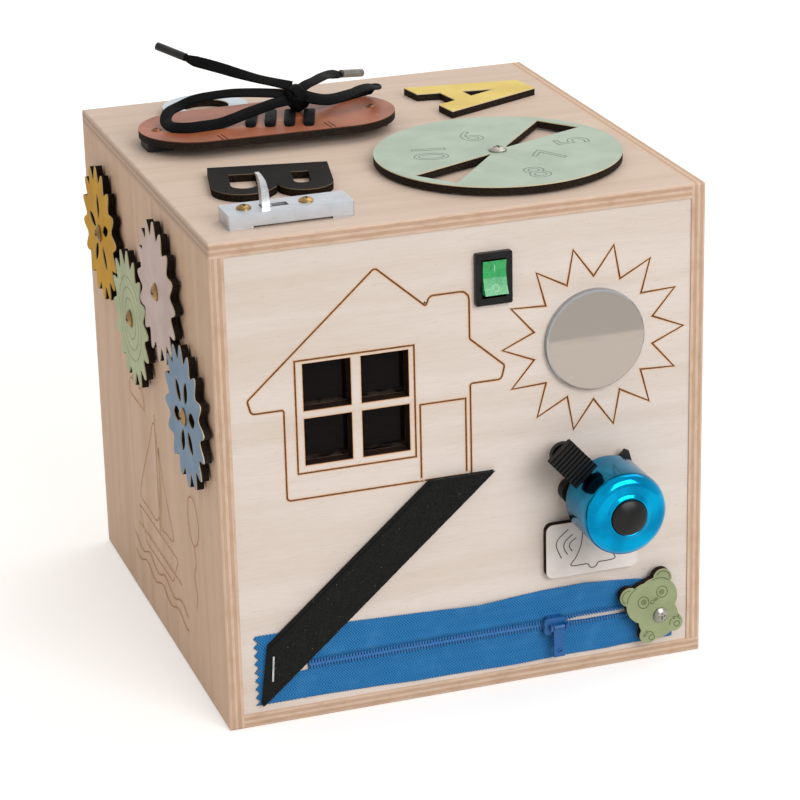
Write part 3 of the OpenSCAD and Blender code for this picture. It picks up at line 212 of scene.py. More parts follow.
@dataclass
class Piece:
    """A mesh object in the making, gathered from patches."""

    name: str
    points: list[np.ndarray] = field(default_factory=list)
    faces: list[list[int]] = field(default_factory=list)
    values: dict[str, list[np.ndarray]] = field(default_factory=dict)
    count: int = 0

    def add(self, points: np.ndarray, faces: np.ndarray, **values: np.ndarray) -> None:
        """Adds a patch.

        Args:
            points: Points in metres, one a row.
            faces: Rows of point numbers within the patch.
            values: A number for each point, by the name that the materials read.
        """
        self.points.append(points)
        self.faces += (np.asarray(faces) + self.count).tolist()
        for key, value in values.items():
            self.values.setdefault(key, []).append(value)
        self.count += len(points)

    def lines(
        self, place: Place, line: np.ndarray, width: float, height: float,
        closed: bool = False, inner: float = 0.0,
    ) -> None:
        """Lays a scorched line on a surface, dark in its middle and fading to its edges.

        Args:
            place: Turns (right, up, out) into metres.
            line: Flat points.
            width: Whole width, halo included.
            height: Height over the surface, which differs between lines that cross.
            closed: Whether the line closes.
            inner: Half width that is left open, over a cut line.
        """
        half = width / 2
        if inner:
            spans = [np.array([-half, -half * 0.6, -inner]), np.array([inner, half * 0.6, half])]
            burns = [np.array([0, 0.22, 0.55]), np.array([0.55, 0.22, 0])]
        else:
            spans = [half * np.array([-1, -0.5, -0.22, 0.22, 0.5, 1])]
            burns = [np.array([0, 0.42, 1, 1, 0.42, 0])]
        for span, burn in zip(spans, burns):
            flat = strip(line, span, closed)
            lifted = np.concatenate([flat, np.full(flat.shape[:2] + (1,), height)], -1)
            rows, columns = flat.shape[:2]
            self.add(
                place(lifted.reshape(-1, 3)),
                grid_faces(rows, columns, closed),
                scorch=np.tile(burn, rows),
            )

    def lathe(self, place: Place, profile: np.ndarray, sides: int) -> "Piece":
        """Turns a profile (radius, height) round the outward axis; its ends lie on the axis.

        Point (i, j) is (r cos a, r sin a, h) with r, h from profile row j and a from 0 to a full
        turn over i, so a profile that runs down from the top faces outwards.

        Args:
            place: Turns (right, up, out) into metres.
            profile: Rows of (radius, height), the first and the last on the axis.
            sides: Steps round.

        Returns:
            The piece itself.
        """
        a = np.arange(sides)[:, None] * 2 * np.pi / sides
        r, h = profile[1:-1, 0][None], profile[1:-1, 1][None]
        wall = np.stack([r * np.cos(a), r * np.sin(a), h + 0 * a], -1)
        columns = wall.shape[1]
        poles = np.array([[0, 0, profile[0, 1]], [0, 0, profile[-1, 1]]])
        faces = grid_faces(sides, columns, wrap_rows=True)
        i = np.arange(sides)
        following = (i + 1) % sides
        pole, last = np.full(sides, sides * columns), columns - 1
        top = np.stack([pole, i * columns, following * columns], -1)
        low = np.stack([pole + 1, following * columns + last, i * columns + last], -1)
        start = self.count
        self.add(place(np.vstack([wall.reshape(-1, 3), poles])), faces[:, ::-1])
        self.faces += (np.vstack([top, low]) + start).tolist()
        return self

    def band(
        self, path: np.ndarray, facing: np.ndarray, width: np.ndarray | float, thick: float,
        closed: bool = False,
    ) -> "Piece":
        """Carries a flat oval section along a path, as a lace or a webbing runs.

        Point (i, j) is path i + across * side + lift * normal, where across = width/2 times
        cos a and lift = thick/2 times sin a, both raised to the power 0.6 with their sign, and
        normal is the facing direction made square to the path.

        Args:
            path: Points in mm.
            facing: The direction of the flat side, one for all points or one each.
            width: Width at each point, or one for all.
            thick: Thickness.
            closed: Whether the path closes.

        Returns:
            The piece itself.
        """
        count = len(path)
        tangent = np.roll(path, -1, 0) - np.roll(path, 1, 0)
        if not closed:
            tangent[0], tangent[-1] = path[1] - path[0], path[-1] - path[-2]
        tangent = unit(tangent)
        facing = np.broadcast_to(facing, path.shape)
        normal = unit(facing - tangent * (facing * tangent).sum(1, keepdims=True))
        side = np.cross(normal, tangent)
        sides = 16
        a = np.arange(sides) * 2 * np.pi / sides
        oval = np.stack([np.cos(a), np.sin(a)], -1)
        oval = np.sign(oval) * np.abs(oval) ** 0.6
        across = np.broadcast_to(width, count)[:, None] / 2 * oval[None, :, 0]
        lift = np.full((count, 1), thick / 2) * oval[None, :, 1]
        points = path[:, None] + across[..., None] * side[:, None] + lift[..., None] * normal[:, None]
        gaps = np.linalg.norm(np.diff(path, axis=0), axis=1)
        along = np.concatenate([[0], np.cumsum(gaps)])
        start = self.count
        self.add(
            points.reshape(-1, 3) * MM,
            grid_faces(count, sides, closed, True)[:, ::-1],
            along=np.repeat(along, sides),
            across=across.ravel(),
        )
        if not closed:
            ring = np.arange(sides)
            self.faces.append((ring + start).tolist())
            self.faces.append((ring[::-1] + start + (count - 1) * sides).tolist())
        return self

    def build(self, finish: "Finish", body: str | None, slot: str, flat: bool = False) -> bpy.types.Object:
        """Makes the object and lets it ride.

        Args:
            finish: Its finish.
            body: The body that carries it; none for a piece that bends between two.
            slot: The record's material slot, which is not used.
            flat: Whether its faces are shaded flat.

        Returns:
            The object.
        """
        mesh = bpy.data.meshes.new(self.name)
        mesh.from_pydata(np.vstack(self.points).tolist(), [], self.faces)
        for key, parts in self.values.items():
            values = np.concatenate(parts).astype(np.float32)
            if len(values) == self.count:
                mesh.attributes.new(key, "FLOAT", "POINT").data.foreach_set("value", values)
        mesh.polygons.foreach_set("use_smooth", np.full(len(mesh.polygons), not flat))
        mesh.materials.append(finish.build())
        mesh.update()
        obj = bpy.data.objects.new(self.name, mesh)
        bpy.context.scene.collection.objects.link(obj)
        if body:
            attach(obj, body)
        LOG.info("%s: %d points, %d faces", self.name, self.count, len(self.faces))
        return obj


# Finishes


def linear(code: str) -> tuple[float, float, float, float]:
    """Turns an sRGB hex colour to linear light, by the standard's two-part curve.

    Args:
        code: The colour, as #RRGGBB.

    Returns:
        Red, green and blue from 0 to 1, and a full alpha.
    """
    values = np.array([int(code[i : i + 2], 16) for i in (1, 3, 5)]) / 255
    lin = np.where(values <= 0.04045, values / 12.92, ((values + 0.055) / 1.055) ** 2.4)
    return (float(lin[0]), float(lin[1]), float(lin[2]), 1.0)


# For a colour mix and a range: the inputs in order, the output and the settings, unless a call
# gives its own
USUAL: dict[str, tuple[tuple[int, ...], int, dict[str, str]]] = {
    "Mix": ((0, 6, 7), 2, {"data_type": "RGBA"}),
    "MapRange": ((0, 1, 2, 3, 4), 0, {"interpolation_type": "SMOOTHSTEP"}),
}


def add(
    tree: bpy.types.NodeTree, kind: str, inputs: dict | tuple = (), out: int | str | None = None,
    **settings: object,
) -> bpy.types.NodeSocket:
    """Adds a shader node.

    Args:
        tree: The material's or the world's node tree.
        kind: The node's type, without its prefix.
        inputs: Values, hex colours or the sockets that feed it, in order or by name or number.
        out: The output to return.
        settings: The node's own settings.

    Returns:
        That output.
    """
    order, usual_out, usual = USUAL.get(kind, ((0, 1, 2), 0, {}))
    new = tree.nodes.new("ShaderNode" + kind)
    for key, value in {**usual, **settings}.items():
        setattr(new, key, value)
    given = inputs if isinstance(inputs, dict) else dict(zip(order, inputs))
    for key, value in given.items():
        if isinstance(value, bpy.types.NodeSocket):
            tree.links.new(value, new.inputs[key])
        else:
            new.inputs[key].default_value = linear(value) if isinstance(value, str) else value
    return new.outputs[usual_out if out is None else out]


@dataclass(frozen=True)
class Finish:
    """A real surface. Each kind wires what the eye sees of it into a Principled shader."""

    name: str

    def wire(self, tree: bpy.types.NodeTree, shader: bpy.types.Node) -> None:
        """Sets the shader's sockets and links its patterns.

        Args:
            tree: The material's node tree.
            shader: Its Principled shader.
        """
        raise NotImplementedError

    def build(self) -> bpy.types.Material:
        """Makes the material, or finds it where it is made already.

        Returns:
            The material.
        """
        found = bpy.data.materials.get(self.name)
        if found:
            return found
        material = bpy.data.materials.new(self.name)
        material.use_nodes = True
        self.wire(material.node_tree, material.node_tree.nodes["Principled BSDF"])
        return material

    def mm(self, tree: bpy.types.NodeTree, scale: Triple = (1, 1, 1)) -> bpy.types.NodeSocket:
        """The object's own place in millimetres, which patterns are scaled to.

        Args:
            tree: The material's node tree.
            scale: How much it is stretched along each axis.

        Returns:
            The place.
        """
        place = add(tree, "TexCoord", out="Object")
        size = tuple(1000 * s for s in scale)
        return add(tree, "VectorMath", (place, size), operation="MULTIPLY")


@dataclass(frozen=True)
class SandedBirch(Finish):
    """Birch plywood, sanded and bare: silky, pale, with fine even grain and short dark flecks.

    Its edges show the glued layers. Laser cuts leave them charred, with a toasted rim.
    """

    veneer: str = "#D5CAC1"
    figure: str = "#CDC0B4"
    through: Triple = (0, 1, 0)
    grain: Triple = (1, 0, 0)
    across: Triple = (0, 0, 1)
    outer: float = 0.0
    cut_from: float = 0.0
    sheet: float = 6.0
    layers: int = 5

    def wire(self, tree: bpy.types.NodeTree, shader: bpy.types.Node) -> None:
        """Long soft figure, fine grain, flecks, glued edges, and char where the laser ran.

        Args:
            tree: The material's node tree.
            shader: Its Principled shader.
        """
        place = self.mm(tree)
        run, wide, deep = (
            add(tree, "VectorMath", (place, v), "Value", operation="DOT_PRODUCT")
            for v in (self.grain, self.across, self.through)
        )
        grained = add(tree, "CombineXYZ", (run, wide, deep))
        # Growth rings cut flat lie 6 to 15 mm apart and run on for most of the panel. Fibre bundles
        # are 0.3 to 0.5 mm wide and some 10 mm long. Flecks are short dashes, 2 to 4 mm long
        figure, fibre, fleck = (
            add(tree, "TexNoise", {0: add(tree, "Mapping", {0: grained, 3: per_mm}), "Scale": 1.0, **more})
            for per_mm, more in (
                ((0.006, 0.085, 0.05), {"Detail": 4.0, "Distortion": 0.6}),
                ((0.11, 2.2, 0.3), {"Detail": 3.0, "Roughness": 0.65}),
                ((0.32, 1.5, 0.2), {"Detail": 1.0}),
            )
        )
        colour = add(tree, "Mix", (add(tree, "MapRange", (figure, 0.35, 0.72)), self.veneer, self.figure))
        colour = add(tree, "Mix", (add(tree, "MapRange", (fibre, 0.42, 0.75, 0, 0.2)), colour, "#B39C86"))
        colour = add(tree, "Mix", (add(tree, "MapRange", (fleck, 0.7, 0.78, 0, 0.2)), colour, "#8C6E52"))
        # Edge: layers of 1.2 mm, long grain pale and end grain brown, with thin glue lines
        depth = add(tree, "Math", (self.outer, deep), operation="SUBTRACT")
        per_layer = math.pi * self.layers / self.sheet
        wave = add(tree, "Math", (depth, per_layer), operation="MULTIPLY")
        wave = add(tree, "Math", (wave,), operation="SINE")
        ply = add(tree, "Mix", (add(tree, "MapRange", (wave, -0.12, 0.12)), "#BA9C84", "#CCB29D"))
        seam = add(tree, "Math", (wave,), operation="ABSOLUTE")
        ply = add(tree, "Mix", (add(tree, "MapRange", (seam, 0.0, 0.2, 0.35, 0)), ply, "#7A5B3E"))
        ply = add(tree, "Mix", (add(tree, "MapRange", (fibre, 0.35, 0.8, 0, 0.45)), ply, "#9C7B5A"))
        normal = add(tree, "TexCoord", out="Normal")
        facing = add(tree, "VectorMath", (normal, self.through), "Value", operation="DOT_PRODUCT")
        facing = add(tree, "Math", (facing,), operation="ABSOLUTE")
        colour = add(tree, "Mix", (add(tree, "MapRange", (facing, 0.55, 0.75, 1, 0)), colour, ply))
        # Char: everything that the laser cut below the outer face, and the lines' toasted rims
        place = self.mm(tree, (0.9, 0.9, 0.9))
        char = add(tree, "TexNoise", {"Vector": place, "Scale": 1.0, "Detail": 3.0})
        burnt = add(tree, "Mix", (char, "#1A110C", "#33221A"))
        lightly = add(tree, "Mix", (add(tree, "MapRange", (char, 0.38, 0.66)), "#6E4A30", "#8E6441"))
        burnt = add(tree, "Mix", (add(tree, "MapRange", (depth, 0.6, 0.75)), lightly, burnt))
        if self.cut_from:
            below = add(tree, "MapRange", (depth, 0.08, 0.16))
            above = add(tree, "MapRange", (depth, 5.85, 5.95, 1, 0))
            cut = add(tree, "Math", (below, above), operation="MULTIPLY")
            colour = add(tree, "Mix", (cut, colour, burnt))
        scorch = add(tree, "Attribute", out="Fac", attribute_name="scorch")
        uneven = add(tree, "MapRange", (char, 0.3, 0.7, 0.72, 1.12))
        ragged = add(tree, "Math", (scorch, uneven), operation="MULTIPLY")
        colour = add(tree, "Mix", (add(tree, "MapRange", (ragged, 0.03, 0.55, 0, 0.85)), colour, "#D3A06C"))
        colour = add(tree, "Mix", (add(tree, "MapRange", (ragged, 0.66, 0.95)), colour, "#8A6242"))
        tree.links.new(colour, shader.inputs["Base Color"])
        rough = add(tree, "MapRange", (fibre, 0.3, 0.8, 0.5, 0.66))
        tree.links.new(rough, shader.inputs["Roughness"])
        shader.inputs["Specular IOR Level"].default_value = 0.22
        relief = add(tree, "Bump", {"Height": fibre, "Distance": 0.05 * MM})
        tree.links.new(relief, shader.inputs["Normal"])


@dataclass(frozen=True)
class PaintedCutout(Finish):
    """A laser-cut birch shape, its face painted satin: thin even paint, a cream rim, black sides."""

    paint: str = "#A3AE88"
    shade: str = "#93A07A"
    out: Triple = (0, 0, 1)
    top: float = 203.2
    line: str = "#55503A"
    gloss: float = 0.42
    specular: float = 0.12
    veined: float = 0.0
    rim: str = "#CFC09C"
    layer: float = 1.07

    def wire(self, tree: bpy.types.NodeTree, shader: bpy.types.Node) -> None:
        """Brushed-out paint over faint grain, a bare rim, and charred layers on the sides.

        Args:
            tree: The material's node tree.
            shader: Its Principled shader.
        """
        place = self.mm(tree)
        height = add(tree, "VectorMath", (place, self.out), "Value", operation="DOT_PRODUCT")
        # Paint lies in faint brush-wide patches of some 15 mm, over fibres of half a millimetre
        patch = add(tree, "TexNoise", {"Vector": place, "Scale": 0.07, "Detail": 3.0})
        grained = add(tree, "Mapping", {0: place, 3: (0.09, 1.6, 1.6)})
        fibre = add(tree, "TexNoise", {"Vector": grained, "Scale": 1.0, "Detail": 3.0})
        colour = add(tree, "Mix", (add(tree, "MapRange", (patch, 0.3, 0.7)), self.paint, self.shade))
        if self.veined:
            veins = add(tree, "MapRange", (fibre, 0.4, 0.75, 0, self.veined))
            colour = add(tree, "Mix", (veins, colour, "#5C3424"))
        scorch = add(tree, "Attribute", out="Fac", attribute_name="scorch")
        colour = add(tree, "Mix", (add(tree, "MapRange", (scorch, 0.3, 1.0)), colour, self.line))
        normal = add(tree, "TexCoord", out="Normal")
        facing = add(tree, "VectorMath", (normal, self.out), "Value", operation="DOT_PRODUCT")
        side = add(tree, "MapRange", (facing, 0.4, 0.7, 1, 0))
        # Soot in spots of a millimetre, with the three glued layers faint under it
        soot = add(tree, "TexNoise", {"Vector": place, "Scale": 1.1, "Detail": 4.0})
        layer = add(tree, "Math", (height, 2 * math.pi / self.layer), operation="MULTIPLY")
        layer = add(tree, "Math", (layer,), operation="SINE")
        burnt = add(tree, "Mix", (add(tree, "MapRange", (soot, 0.35, 0.75)), "#110D0A", "#2A1F17"))
        burnt = add(tree, "Mix", (add(tree, "MapRange", (layer, 0.2, 0.9, 0, 0.35)), burnt, "#33251B"))
        # The paint's cut rim, a third of a millimetre of bare wood
        rim = add(tree, "MapRange", (height, self.top - 0.42, self.top - 0.3))
        burnt = add(tree, "Mix", (rim, burnt, self.rim))
        colour = add(tree, "Mix", (side, colour, burnt))
        tree.links.new(colour, shader.inputs["Base Color"])
        rough = add(tree, "MapRange", (side, 0, 1, self.gloss, 0.75))
        tree.links.new(rough, shader.inputs["Roughness"])
        shader.inputs["Specular IOR Level"].default_value = self.specular
        relief = add(tree, "Bump", {"Height": fibre, "Distance": 0.025 * MM})
        tree.links.new(relief, shader.inputs["Normal"])


@dataclass(frozen=True)
class Moulded(Finish):
    """Injection-moulded plastic: even colour, soft gloss, a trace of orange peel."""

    colour: str = "#111111"
    roughness: float = 0.32
    grit_mm: float = 0.6
    depth_mm: float = 0.01
    dust: float = 0.1
    specular: float = 0.5

    def wire(self, tree: bpy.types.NodeTree, shader: bpy.types.Node) -> None:
        """Fine orange peel, and a little dust in clouds of 8 mm that breaks the gloss.

        Args:
            tree: The material's node tree.
            shader: Its Principled shader.
        """
        grit = add(tree, "TexNoise", {"Vector": self.mm(tree), "Scale": 1 / self.grit_mm, "Detail": 2.0})
        cloud = add(tree, "TexNoise", {"Vector": self.mm(tree), "Scale": 0.12, "Detail": 4.0})
        dusty = add(tree, "MapRange", (cloud, 0.4, 0.8, 0, self.dust))
        colour = add(tree, "Mix", (dusty, self.colour, "#8E8A84"))
        tree.links.new(colour, shader.inputs["Base Color"])
        rough = add(tree, "MapRange", (cloud, 0.3, 0.8, self.roughness, self.roughness + 0.14))
        tree.links.new(rough, shader.inputs["Roughness"])
        shader.inputs["IOR"].default_value = 1.5
        shader.inputs["Specular IOR Level"].default_value = self.specular
        relief = add(tree, "Bump", {"Height": grit, "Distance": self.depth_mm * MM})
        tree.links.new(relief, shader.inputs["Normal"])


@dataclass(frozen=True)
class MouldedRubber(Finish):
    """Moulded soft rubber: dull black with a low broad light, greyer where it is rubbed."""

    def wire(self, tree: bpy.types.NodeTree, shader: bpy.types.Node) -> None:
        """Dull black with worn grey patches of 2 mm.

        Args:
            tree: The material's node tree.
            shader: Its Principled shader.
        """
        worn = add(tree, "TexNoise", {"Vector": self.mm(tree), "Scale": 0.5, "Detail": 5.0})
        colour = add(tree, "Mix", (add(tree, "MapRange", (worn, 0.5, 0.85, 0, 0.45)), "#080808", "#242321"))
        tree.links.new(colour, shader.inputs["Base Color"])
        shader.inputs["Roughness"].default_value = 0.36
        shader.inputs["Specular IOR Level"].default_value = 0.2
        relief = add(tree, "Bump", {"Height": worn, "Distance": 0.05 * MM})
        tree.links.new(relief, shader.inputs["Normal"])


@dataclass(frozen=True)
class PlatedSteel(Finish):
    """Steel with a thin plating: zinc, nickel or brass, faintly brushed and a little dull."""

    colour: str = "#C8CCD2"
    dull: str = "#9A9EA4"
    roughness: float = 0.24
    brushed: Triple = (0.06, 1.4, 1.4)

    def wire(self, tree: bpy.types.NodeTree, shader: bpy.types.Node) -> None:
        """Brush lines of 0.4 mm over plating that is cloudy in patches of 7 mm.

        Args:
            tree: The material's node tree.
            shader: Its Principled shader.
        """
        lines = add(tree, "TexNoise", {"Vector": self.mm(tree, self.brushed), "Scale": 1.6, "Detail": 3.0})
        cloud = add(tree, "TexNoise", {"Vector": self.mm(tree), "Scale": 0.14, "Detail": 4.0})
        colour = add(tree, "Mix", (add(tree, "MapRange", (cloud, 0.35, 0.75)), self.colour, self.dull))
        tree.links.new(colour, shader.inputs["Base Color"])
        shader.inputs["Metallic"].default_value = 1.0
        rough = add(tree, "MapRange", (lines, 0.3, 0.75, self.roughness, self.roughness + 0.16))
        tree.links.new(rough, shader.inputs["Roughness"])
        relief = add(tree, "Bump", {"Height": lines, "Distance": 0.012 * MM})
        tree.links.new(relief, shader.inputs["Normal"])


@dataclass(frozen=True)
class LacqueredShell(Finish):
    """Spun aluminium under clear blue lacquer: deep colour, sharp lights, faint spin rings."""

    colour: str = "#0094C4"
    deep: str = "#0076A4"
    centre: Triple = (0, 0, 0)

    def wire(self, tree: bpy.types.NodeTree, shader: bpy.types.Node) -> None:
        """Spin rings half a millimetre apart round the axis, under a clear coat.

        Args:
            tree: The material's node tree.
            shader: Its Principled shader.
        """
        place = add(tree, "VectorMath", (self.mm(tree), self.centre), operation="SUBTRACT")
        flat = add(tree, "VectorMath", (place, (1, 0, 1)), operation="MULTIPLY")
        radius = add(tree, "VectorMath", (flat,), "Value", operation="LENGTH")
        rings = add(tree, "TexNoise", {"W": radius, "Scale": 2.2, "Detail": 2.0}, noise_dimensions="1D")
        cloud = add(tree, "TexNoise", {"Vector": place, "Scale": 0.09, "Detail": 2.0})
        colour = add(tree, "Mix", (add(tree, "MapRange", (cloud, 0.3, 0.7)), self.colour, self.deep))
        tree.links.new(colour, shader.inputs["Base Color"])
        shader.inputs["Metallic"].default_value = 1.0
        rough = add(tree, "MapRange", (rings, 0.2, 0.8, 0.1, 0.19))
        tree.links.new(rough, shader.inputs["Roughness"])
        shader.inputs["Coat Weight"].default_value = 0.05
        shader.inputs["Coat Roughness"].default_value = 0.06
        relief = add(tree, "Bump", {"Height": rings, "Distance": 0.006 * MM})
        tree.links.new(relief, shader.inputs["Normal"])


@dataclass(frozen=True)
class SilveredAcrylic(Finish):
    """Silvered acrylic: a clear sharp reflection, bright ground rim, and a warm brown-grey tint that is
    painted reflection.
    """

    def wire(self, tree: bpy.types.NodeTree, shader: bpy.types.Node) -> None:
        """A mirror tinted warm brown-grey as painted reflection of a room, with a few wiping marks and a
        frosted rim.

        Args:
            tree: The material's node tree.
            shader: Its Principled shader.
        """
        place = self.mm(tree, (0.05, 0.05, 0.3))
        wipe = add(tree, "TexNoise", {"Vector": place, "Scale": 1.0, "Detail": 5.0})
        normal = add(tree, "TexCoord", out="Normal")
        facing = add(tree, "VectorMath", (normal, Face.FRONT.out), "Value", operation="DOT_PRODUCT")
        rim = add(tree, "MapRange", (facing, 0.9, 0.99, 1, 0))
        # The face's warm brown-grey is painted reflection of a brownish room; the rim's grey is the frosted
        # rim
        colour = add(tree, "Mix", (rim, "#A69D95", "#A9ACAE"))
        tree.links.new(colour, shader.inputs["Base Color"])
        shader.inputs["Metallic"].default_value = 1.0
        smear = add(tree, "MapRange", (wipe, 0.5, 0.8, 0.03, 0.09))
        frosted = add(tree, "MapRange", (rim, 0, 1, 0, 0.16))
        rough = add(tree, "Math", (smear, frosted), operation="ADD")
        tree.links.new(rough, shader.inputs["Roughness"])


@dataclass(frozen=True)
class SmokedSheet(Finish):
    """Smoked acrylic sheet: almost black, high gloss, with dust along the lower bars."""

    lowest_pane: float = 106.7
    pane_spacing: float = 22.2

    def wire(self, tree: bpy.types.NodeTree, shader: bpy.types.Node) -> None:
        """Black gloss, a haze of dust that gathers low in each pane, and wiping marks.

        Args:
            tree: The material's node tree.
            shader: Its Principled shader.
        """
        place = self.mm(tree, (0.2, 0.2, 0.6))
        haze = add(tree, "TexNoise", {"Vector": place, "Scale": 1.0, "Detail": 6.0})
        tall = add(tree, "SeparateXYZ", (self.mm(tree),), 2)
        low = add(tree, "Math", (tall, self.lowest_pane), operation="SUBTRACT")
        low = add(tree, "Math", (low, self.pane_spacing), operation="MODULO")
        settled = add(tree, "MapRange", (low, 0.2, 3.0, 0.5, 0.02))
        hazy = add(tree, "MapRange", (haze, 0.35, 0.75))
        dust = add(tree, "Math", (settled, hazy), operation="MULTIPLY")
        colour = add(tree, "Mix", (dust, "#0B0706", "#5A4C42"))
        tree.links.new(colour, shader.inputs["Base Color"])
        tree.links.new(add(tree, "MapRange", (haze, 0.3, 0.8, 0.05, 0.2)), shader.inputs["Roughness"])
        shader.inputs["IOR"].default_value = 1.49
        shader.inputs["Specular IOR Level"].default_value = 0.06


@dataclass(frozen=True)
class ClearResin(Finish):
    """Clear or tinted see-through plastic: lamps, lace tips, the switch's rocker."""

    colour: str = "#E8ECE4"
    clear: float = 0.7
    glow: float = 0.0
    roughness: float = 0.12

    def wire(self, tree: bpy.types.NodeTree, shader: bpy.types.Node) -> None:
        """Lets some light through, with flow marks of 2 to 3 mm in the moulding.

        Args:
            tree: The material's node tree.
            shader: Its Principled shader.
        """
        flow = add(
            tree, "TexNoise", {"Vector": self.mm(tree), "Scale": 0.4, "Detail": 3.0, "Distortion": 1.0}
        )
        deep = tuple(c * 0.7 for c in linear(self.colour)[:3]) + (1.0,)
        colour = add(tree, "Mix", (add(tree, "MapRange", (flow, 0.3, 0.7)), self.colour, deep))
        tree.links.new(colour, shader.inputs["Base Color"])
        rough = add(tree, "MapRange", (flow, 0.3, 0.7, self.roughness, self.roughness + 0.08))
        tree.links.new(rough, shader.inputs["Roughness"])
        shader.inputs["Transmission Weight"].default_value = self.clear
        shader.inputs["IOR"].default_value = 1.49
        if self.glow:
            shader.inputs["Subsurface Weight"].default_value = self.glow
            shader.inputs["Subsurface Scale"].default_value = 2 * MM
            shader.inputs["Subsurface Radius"].default_value = (0.4, 1.0, 0.5)


@dataclass(frozen=True)
class WovenTape(Finish):
    """Woven polyester tape: a herringbone of half-millimetre ribs, drawn at 1.2 mm so it shows."""

    colour: str = "#2179B4"
    # The colour painted into the grooves between the ribs, as painted shade
    shade: str = "#0E4C7E"
    rib: float = 1.2

    def wire(self, tree: bpy.types.NodeTree, shader: bpy.types.Node) -> None:
        """Ribs that turn back every 2.4 mm, painted darker between the threads as shade, with a soft sheen.

        Args:
            tree: The material's node tree.
            shader: Its Principled shader.
        """
        along = add(tree, "Attribute", out="Fac", attribute_name="along")
        across = add(tree, "Attribute", out="Fac", attribute_name="across")
        turn = add(tree, "Math", (across, 2 * self.rib), operation="PINGPONG")
        slant = add(tree, "Math", (along, turn), operation="ADD")
        ribs = add(tree, "Math", (slant, 2 * math.pi / self.rib), operation="MULTIPLY")
        weave = add(tree, "MapRange", (add(tree, "Math", (ribs,), operation="SINE"), -1, 1))
        worn = add(tree, "TexNoise", {"Vector": self.mm(tree), "Scale": 0.09, "Detail": 4.0})
        # Painted shade: the weave's grooves take the darker colour, the rib crowns the tape's own
        colour = add(tree, "Mix", (add(tree, "MapRange", (weave, 0, 0.8)), self.shade, self.colour))
        colour = add(tree, "Mix", (add(tree, "MapRange", (worn, 0.45, 0.8, 0, 0.25)), colour, "#4A90C4"))
        tree.links.new(colour, shader.inputs["Base Color"])
        shader.inputs["Roughness"].default_value = 0.78
        shader.inputs["Sheen Weight"].default_value = 0.25
        shader.inputs["Sheen Roughness"].default_value = 0.4
        shader.inputs["Specular IOR Level"].default_value = 0.25
        relief = add(tree, "Bump", {"Height": weave, "Distance": 0.12 * MM})
        tree.links.new(relief, shader.inputs["Normal"])


@dataclass(frozen=True)
class BraidedLace(Finish):
    """Flat braided lace: black polyester, plaits a millimetre long that meet in a middle line."""

    plait: float = 1.1

    def wire(self, tree: bpy.types.NodeTree, shader: bpy.types.Node) -> None:
        """Chevrons that meet in the middle, with painted grey highlights on the thread crowns and painted
        shade between them.

        Args:
            tree: The material's node tree.
            shader: Its Principled shader.
        """
        along = add(tree, "Attribute", out="Fac", attribute_name="along")
        across = add(tree, "Attribute", out="Fac", attribute_name="across")
        reach = add(tree, "Math", (across,), operation="ABSOLUTE")
        slant = add(tree, "Math", (reach, along), operation="ADD")
        plaits = add(tree, "Math", (slant, 2 * math.pi / self.plait), operation="MULTIPLY")
        weave = add(tree, "MapRange", (add(tree, "Math", (plaits,), operation="SINE"), -1, 1))
        worn = add(tree, "TexNoise", {"Vector": self.mm(tree), "Scale": 0.35, "Detail": 4.0})
        # Painted highlight on the plait crowns and painted shade in the hollows between them
        colour = add(tree, "Mix", (weave, "#030303", "#0D0C0D"))
        colour = add(tree, "Mix", (add(tree, "MapRange", (worn, 0.5, 0.85, 0, 0.25)), colour, "#1A1817"))
        tree.links.new(colour, shader.inputs["Base Color"])
        shader.inputs["Roughness"].default_value = 0.5
        shader.inputs["Specular IOR Level"].default_value = 0.05
        relief = add(tree, "Bump", {"Height": weave, "Distance": 0.16 * MM})
        tree.links.new(relief, shader.inputs["Normal"])


